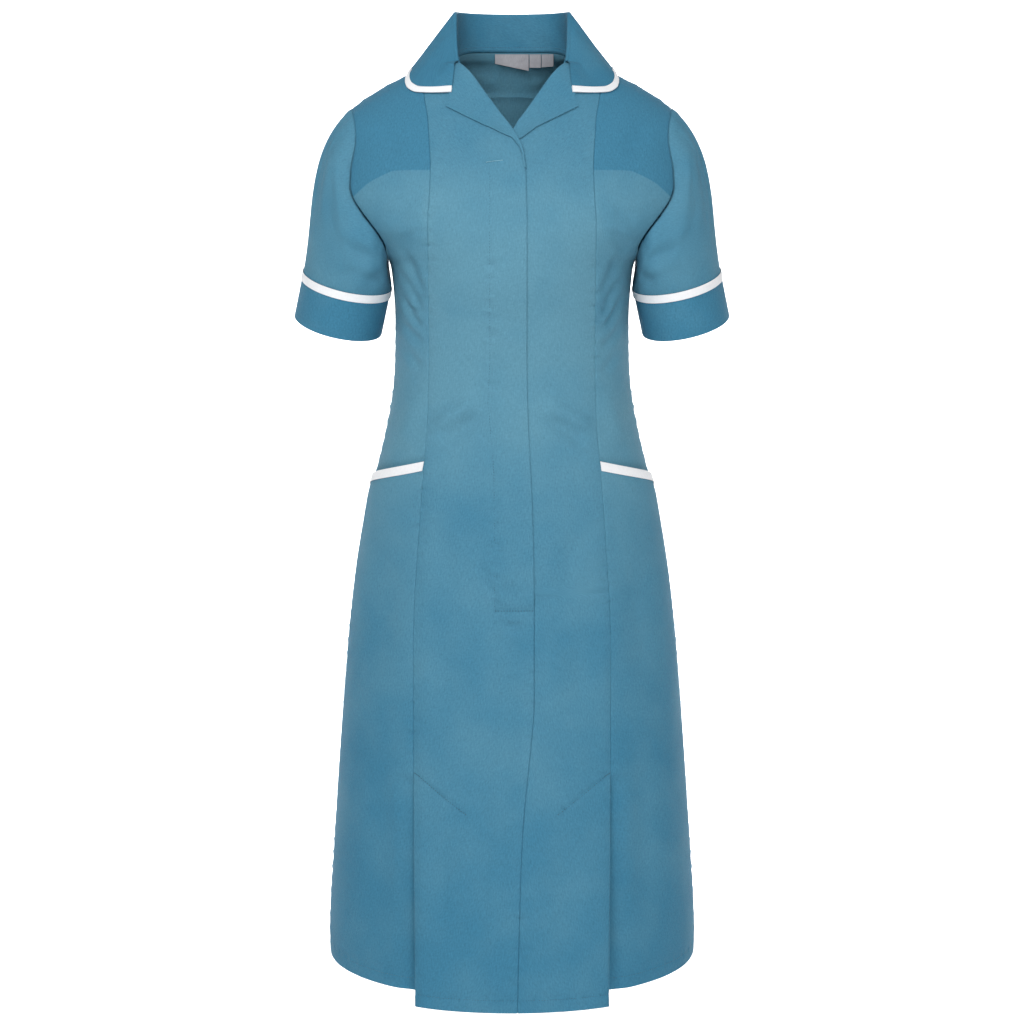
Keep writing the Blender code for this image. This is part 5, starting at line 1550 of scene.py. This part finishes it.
def teal_material(name):
    """Polycotton: painted light and shade from the mesh, cloudy and slubbed, with a fine twill."""
    made, nodes, links = node_material(name)
    tree = (nodes, links)
    shader = nodes["Principled BSDF"]
    cloth = add_node(nodes, "ShaderNodeUVMap", {"uv_map": "cloth"}).outputs["UV"]
    space = add_node(nodes, "ShaderNodeTexCoord").outputs["Object"]
    painted_light = add_node(nodes, "ShaderNodeAttribute", {"attribute_name": "painted_light"}).outputs["Fac"]
    line = add_node(nodes, "ShaderNodeAttribute", {"attribute_name": "above_line"}).outputs["Fac"]
    cloud = cloth_noise(tree, space, 15.0, (1.0, 1.0, 1.0), 3.0)
    cloud = scaled(tree, cloud, -0.24, 0.24, 0.25, 0.75)
    below = scaled(tree, line, 1.0, SHADE_KEEP, -SHADE_LINE_SOFTNESS, SHADE_LINE_SOFTNESS)
    # The mesh's painted light and shade, with random cloudy tone added and the darker shoulder above its
    # line, mixes the cloth's teal with the paler teal of painted light
    tone = combine(tree, "ADD", painted_light, cloud)
    tone = combine(tree, "MULTIPLY", tone, below)
    base = add_node(nodes, "ShaderNodeMix", {"data_type": "RGBA"})
    links.new(tone, base.inputs["Factor"])
    base.inputs[6].default_value = (*TEAL_DARK, 1.0)
    base.inputs[7].default_value = (*TEAL_PAINTED_LIT, 1.0)
    slub = cloth_noise(tree, cloth, 1.0, (1500.0, 130.0, 1.0), 3.0)
    fleck = cloth_noise(tree, cloth, 1.0, (420.0, 420.0, 1.0), 4.0)
    colour = tinted(tree, base.outputs[2], scaled(tree, slub, 0.90, 1.10, 0.3, 0.7))
    colour = tinted(tree, colour, scaled(tree, fleck, 0.92, 1.08, 0.3, 0.7))
    links.new(colour, shader.inputs["Base Color"])
    soft = add_bump(tree, cloth_noise(tree, space, 46.0, (1.0, 1.0, 0.6), 2.0), 0.0022, 0.35)
    threads = add_bump(tree, slub, 0.00012, 0.7, soft)
    twill = add_bump(tree, weave_height(tree, cloth, 0.00062, math.radians(52.0)), 0.00010, 0.8,
                     threads)
    links.new(twill, shader.inputs["Normal"])
    set_finish(shader, 0.80, 0.20, 0.02, 0.45)
    return made


def tape_material(name):
    """White braid: fine ribs across, a little uneven in tone."""
    made, nodes, links = node_material(name)
    tree = (nodes, links)
    shader = nodes["Principled BSDF"]
    cloth = add_node(nodes, "ShaderNodeUVMap", {"uv_map": "cloth"}).outputs["UV"]
    ribs = weave_height(tree, cloth, 0.00085, 0.0)
    cross = weave_height(tree, cloth, 0.00085, math.radians(90.0))
    fleck = cloth_noise(tree, cloth, 1.0, (300.0, 300.0, 1.0), 3.0)
    white = add_node(nodes, "ShaderNodeRGB")
    white.outputs[0].default_value = (*WHITE, 1.0)
    colour = tinted(tree, white.outputs[0], scaled(tree, ribs, 0.96, 1.0))
    colour = tinted(tree, colour, scaled(tree, fleck, 0.97, 1.02, 0.3, 0.7))
    links.new(colour, shader.inputs["Base Color"])
    low = add_bump(tree, ribs, 0.00016, 0.8)
    links.new(add_bump(tree, cross, 0.00012, 0.6, low), shader.inputs["Normal"])
    set_finish(shader, 0.70, 0.30, 0.10, 0.5)
    return made


def label_material(name):
    """Grey satin label with fine lengthwise threads."""
    made, nodes, links = node_material(name)
    tree = (nodes, links)
    shader = nodes["Principled BSDF"]
    cloth = add_node(nodes, "ShaderNodeUVMap", {"uv_map": "cloth"}).outputs["UV"]
    threads = cloth_noise(tree, cloth, 1.0, (2600.0, 220.0, 1.0), 2.0)
    soft = cloth_noise(tree, cloth, 1.0, (110.0, 160.0, 1.0), 2.0)
    grey = add_node(nodes, "ShaderNodeRGB")
    grey.outputs[0].default_value = (*GREY, 1.0)
    colour = tinted(tree, grey.outputs[0], scaled(tree, threads, 0.88, 1.12, 0.3, 0.7))
    colour = tinted(tree, colour, scaled(tree, soft, 0.92, 1.08, 0.3, 0.7))
    links.new(colour, shader.inputs["Base Color"])
    links.new(add_bump(tree, threads, 0.0001, 0.6), shader.inputs["Normal"])
    set_finish(shader, 0.45, 0.45, 0.05, 0.4)
    return made


def thread_material(name, colour):
    """Spun sewing thread, with its twist as bands."""
    made, nodes, links = node_material(name)
    tree = (nodes, links)
    shader = nodes["Principled BSDF"]
    space = add_node(nodes, "ShaderNodeTexCoord").outputs["Object"]
    twist = cloth_noise(tree, space, 2400.0, (1.0, 1.0, 1.0), 2.0)
    paint = add_node(nodes, "ShaderNodeRGB")
    paint.outputs[0].default_value = (*colour, 1.0)
    shade = scaled(tree, twist, 0.85, 1.12, 0.3, 0.7)
    links.new(tinted(tree, paint.outputs[0], shade), shader.inputs["Base Color"])
    set_finish(shader, 0.55, 0.4, 0.1, 0.4)
    return made


def finish_piece(piece, nodes, cloth):
    piece.data.materials.append(cloth)
    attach(piece, "root")
    if nodes:
        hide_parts(*nodes)
    return piece


def build_dress():
    teal = teal_material("teal_poplin")
    white = tape_material("white_tape")
    grey = label_material("grey_label")
    teal_thread_and_shadow = thread_material("teal_thread_and_shadow", TEAL_THREAD_AND_SHADOW)
    pale_thread_and_highlight = thread_material("pale_thread_and_highlight", PALE_THREAD_AND_HIGHLIGHT)
    white_thread = thread_material("white_thread", WHITE_THREAD)
    made = {}

    def sew(name, paths, finish, slot, **sizes):
        made[name] = finish_piece(stitches(name, paths, **sizes), [], finish)

    for side, word in ((-1, "right"), (1, "left")):
        for maker, node in ((make_front, "front"), (make_facing, "facing"),
                            (make_side_front, "side_front"), (make_side_skirt, "side_skirt"),
                            (make_kick_pleat, "kick_pleat"), (make_sleeve, "sleeve"),
                            (make_cuff, "cuff")):
            node = node + "_" + word
            made[node] = finish_piece(maker("cloth_" + node, side), [node], teal)
        for maker, node in ((make_pocket_trim, "pocket_trim"), (make_sleeve_trim, "sleeve_trim")):
            node = node + "_" + word
            made[node] = finish_piece(maker("tape_" + node, side), [node], white)
        sew("stitch_front_" + word, front_sewing(side), teal_thread_and_shadow, "teal_poplin")
        sew("stitch_strong_" + word, strong_sewing(side), teal_thread_and_shadow, "teal_poplin",
            thread=0.00036)
        sew("stitch_bar_" + word, [bar_tack(side)], teal_thread_and_shadow, "teal_poplin",
            pitch=0.0007, length=0.0010, thread=0.0004)
        sew("stitch_hem_" + word, [skirt_hem_path(side)], teal_thread_and_shadow, "teal_poplin")
        sew("stitch_pocket_" + word, pocket_tape_paths(side), white_thread, "white_tape")
        sew("stitch_sleeve_" + word, sleeve_tape_paths(side), white_thread, "white_tape")
    sew("stitch_hem_back", [back_hem_path()], teal_thread_and_shadow, "teal_poplin")
    sew("stitch_collar", [collar_edge_path()], white_thread, "white_tape")
    sew("stitch_neck", neck_strip_paths(), teal_thread_and_shadow, "teal_poplin")
    sew("stitch_buttonhole", [buttonhole_path()], pale_thread_and_highlight, "teal_poplin",
        pitch=0.0006, length=0.0009, thread=0.0005)
    made["back_yoke"] = finish_piece(make_back_yoke("cloth_back_yoke"), ["back_yoke"],
                                     teal)
    made["back"] = finish_piece(make_back("cloth_back"), ["back"], teal)
    made["collar"] = finish_piece(make_collar("cloth_collar"), ["collar"], teal)
    made["collar_binding"] = finish_piece(make_collar_binding("tape_collar"), ["collar_binding"],
                                          white)
    made["neck_strip"] = finish_piece(make_neck_strip("tape_neck_strip"), [], teal)
    for row in TAB_ROWS:
        made[row[0]] = finish_piece(make_tab("blank_" + row[0], *row[1:]), [row[0]],
                                    grey)
    return made


def add_camera():
    camera = bpy.data.objects.new("camera", bpy.data.cameras.new("camera"))
    bpy.context.scene.collection.objects.link(camera)
    camera.location = CAMERA_PLACE
    camera.rotation_euler = (math.radians(90.0 - CAMERA_PITCH_DOWN), 0.0, 0.0)
    camera.data.sensor_width = SENSOR_WIDTH
    camera.data.lens = FOCAL_PIXELS * SENSOR_WIDTH / PICTURE_PIXELS
    bpy.context.scene.camera = camera


def add_area_light(name, place, aim, size, power):
    light = bpy.data.lights.new(name, "AREA")
    light.shape = "RECTANGLE"
    light.size, light.size_y = size
    light.energy = power
    thing = bpy.data.objects.new(name, light)
    thing.location = place
    toward = Vector(aim) - Vector(place)
    thing.rotation_euler = toward.to_track_quat("-Z", "Y").to_euler()
    bpy.context.scene.collection.objects.link(thing)


def add_studio():
    """White floor that sweeps up into a backdrop, the sky, and the soft lights."""
    profile = [(-BACKDROP_REACH, FLOOR_HEIGHT)]
    for turn in np.radians(np.linspace(0.0, 90.0, 13)):
        profile.append((BACKDROP_REACH - BACKDROP_SWEEP * (1.0 - math.sin(turn)),
                        FLOOR_HEIGHT + BACKDROP_SWEEP * (1.0 - math.cos(turn))))
    profile.append((BACKDROP_REACH, BACKDROP_TOP))
    points = np.array([[(x, y, z) for x in (-BACKDROP_HALF_WIDTH, BACKDROP_HALF_WIDTH)]
                       for y, z in profile])
    count = len(profile)
    faces = np.array([(2 * i, 2 * i + 1, 2 * i + 3, 2 * i + 2) for i in range(count - 1)])
    floor = make_mesh("studio_floor", points, faces, np.zeros((count * 2, 2)))
    paint, nodes, _ = node_material("studio_white")
    nodes["Principled BSDF"].inputs["Base Color"].default_value = (*[BACKDROP_WHITE] * 3, 1.0)
    nodes["Principled BSDF"].inputs["Roughness"].default_value = BACKDROP_ROUGHNESS
    floor.data.materials.append(paint)
    world = bpy.data.worlds.new("studio")
    world.use_nodes = True
    sky = world.node_tree.nodes["Background"]
    sky.inputs["Color"].default_value = (1.0, 1.0, 1.0, 1.0)
    sky.inputs["Strength"].default_value = WORLD_STRENGTH
    bpy.context.scene.world = world
    for row in LIGHT_ROWS:
        add_area_light(*row)
    bpy.context.scene.view_settings.view_transform = "Standard"


pieces = build_dress()
add_camera()
add_studio()
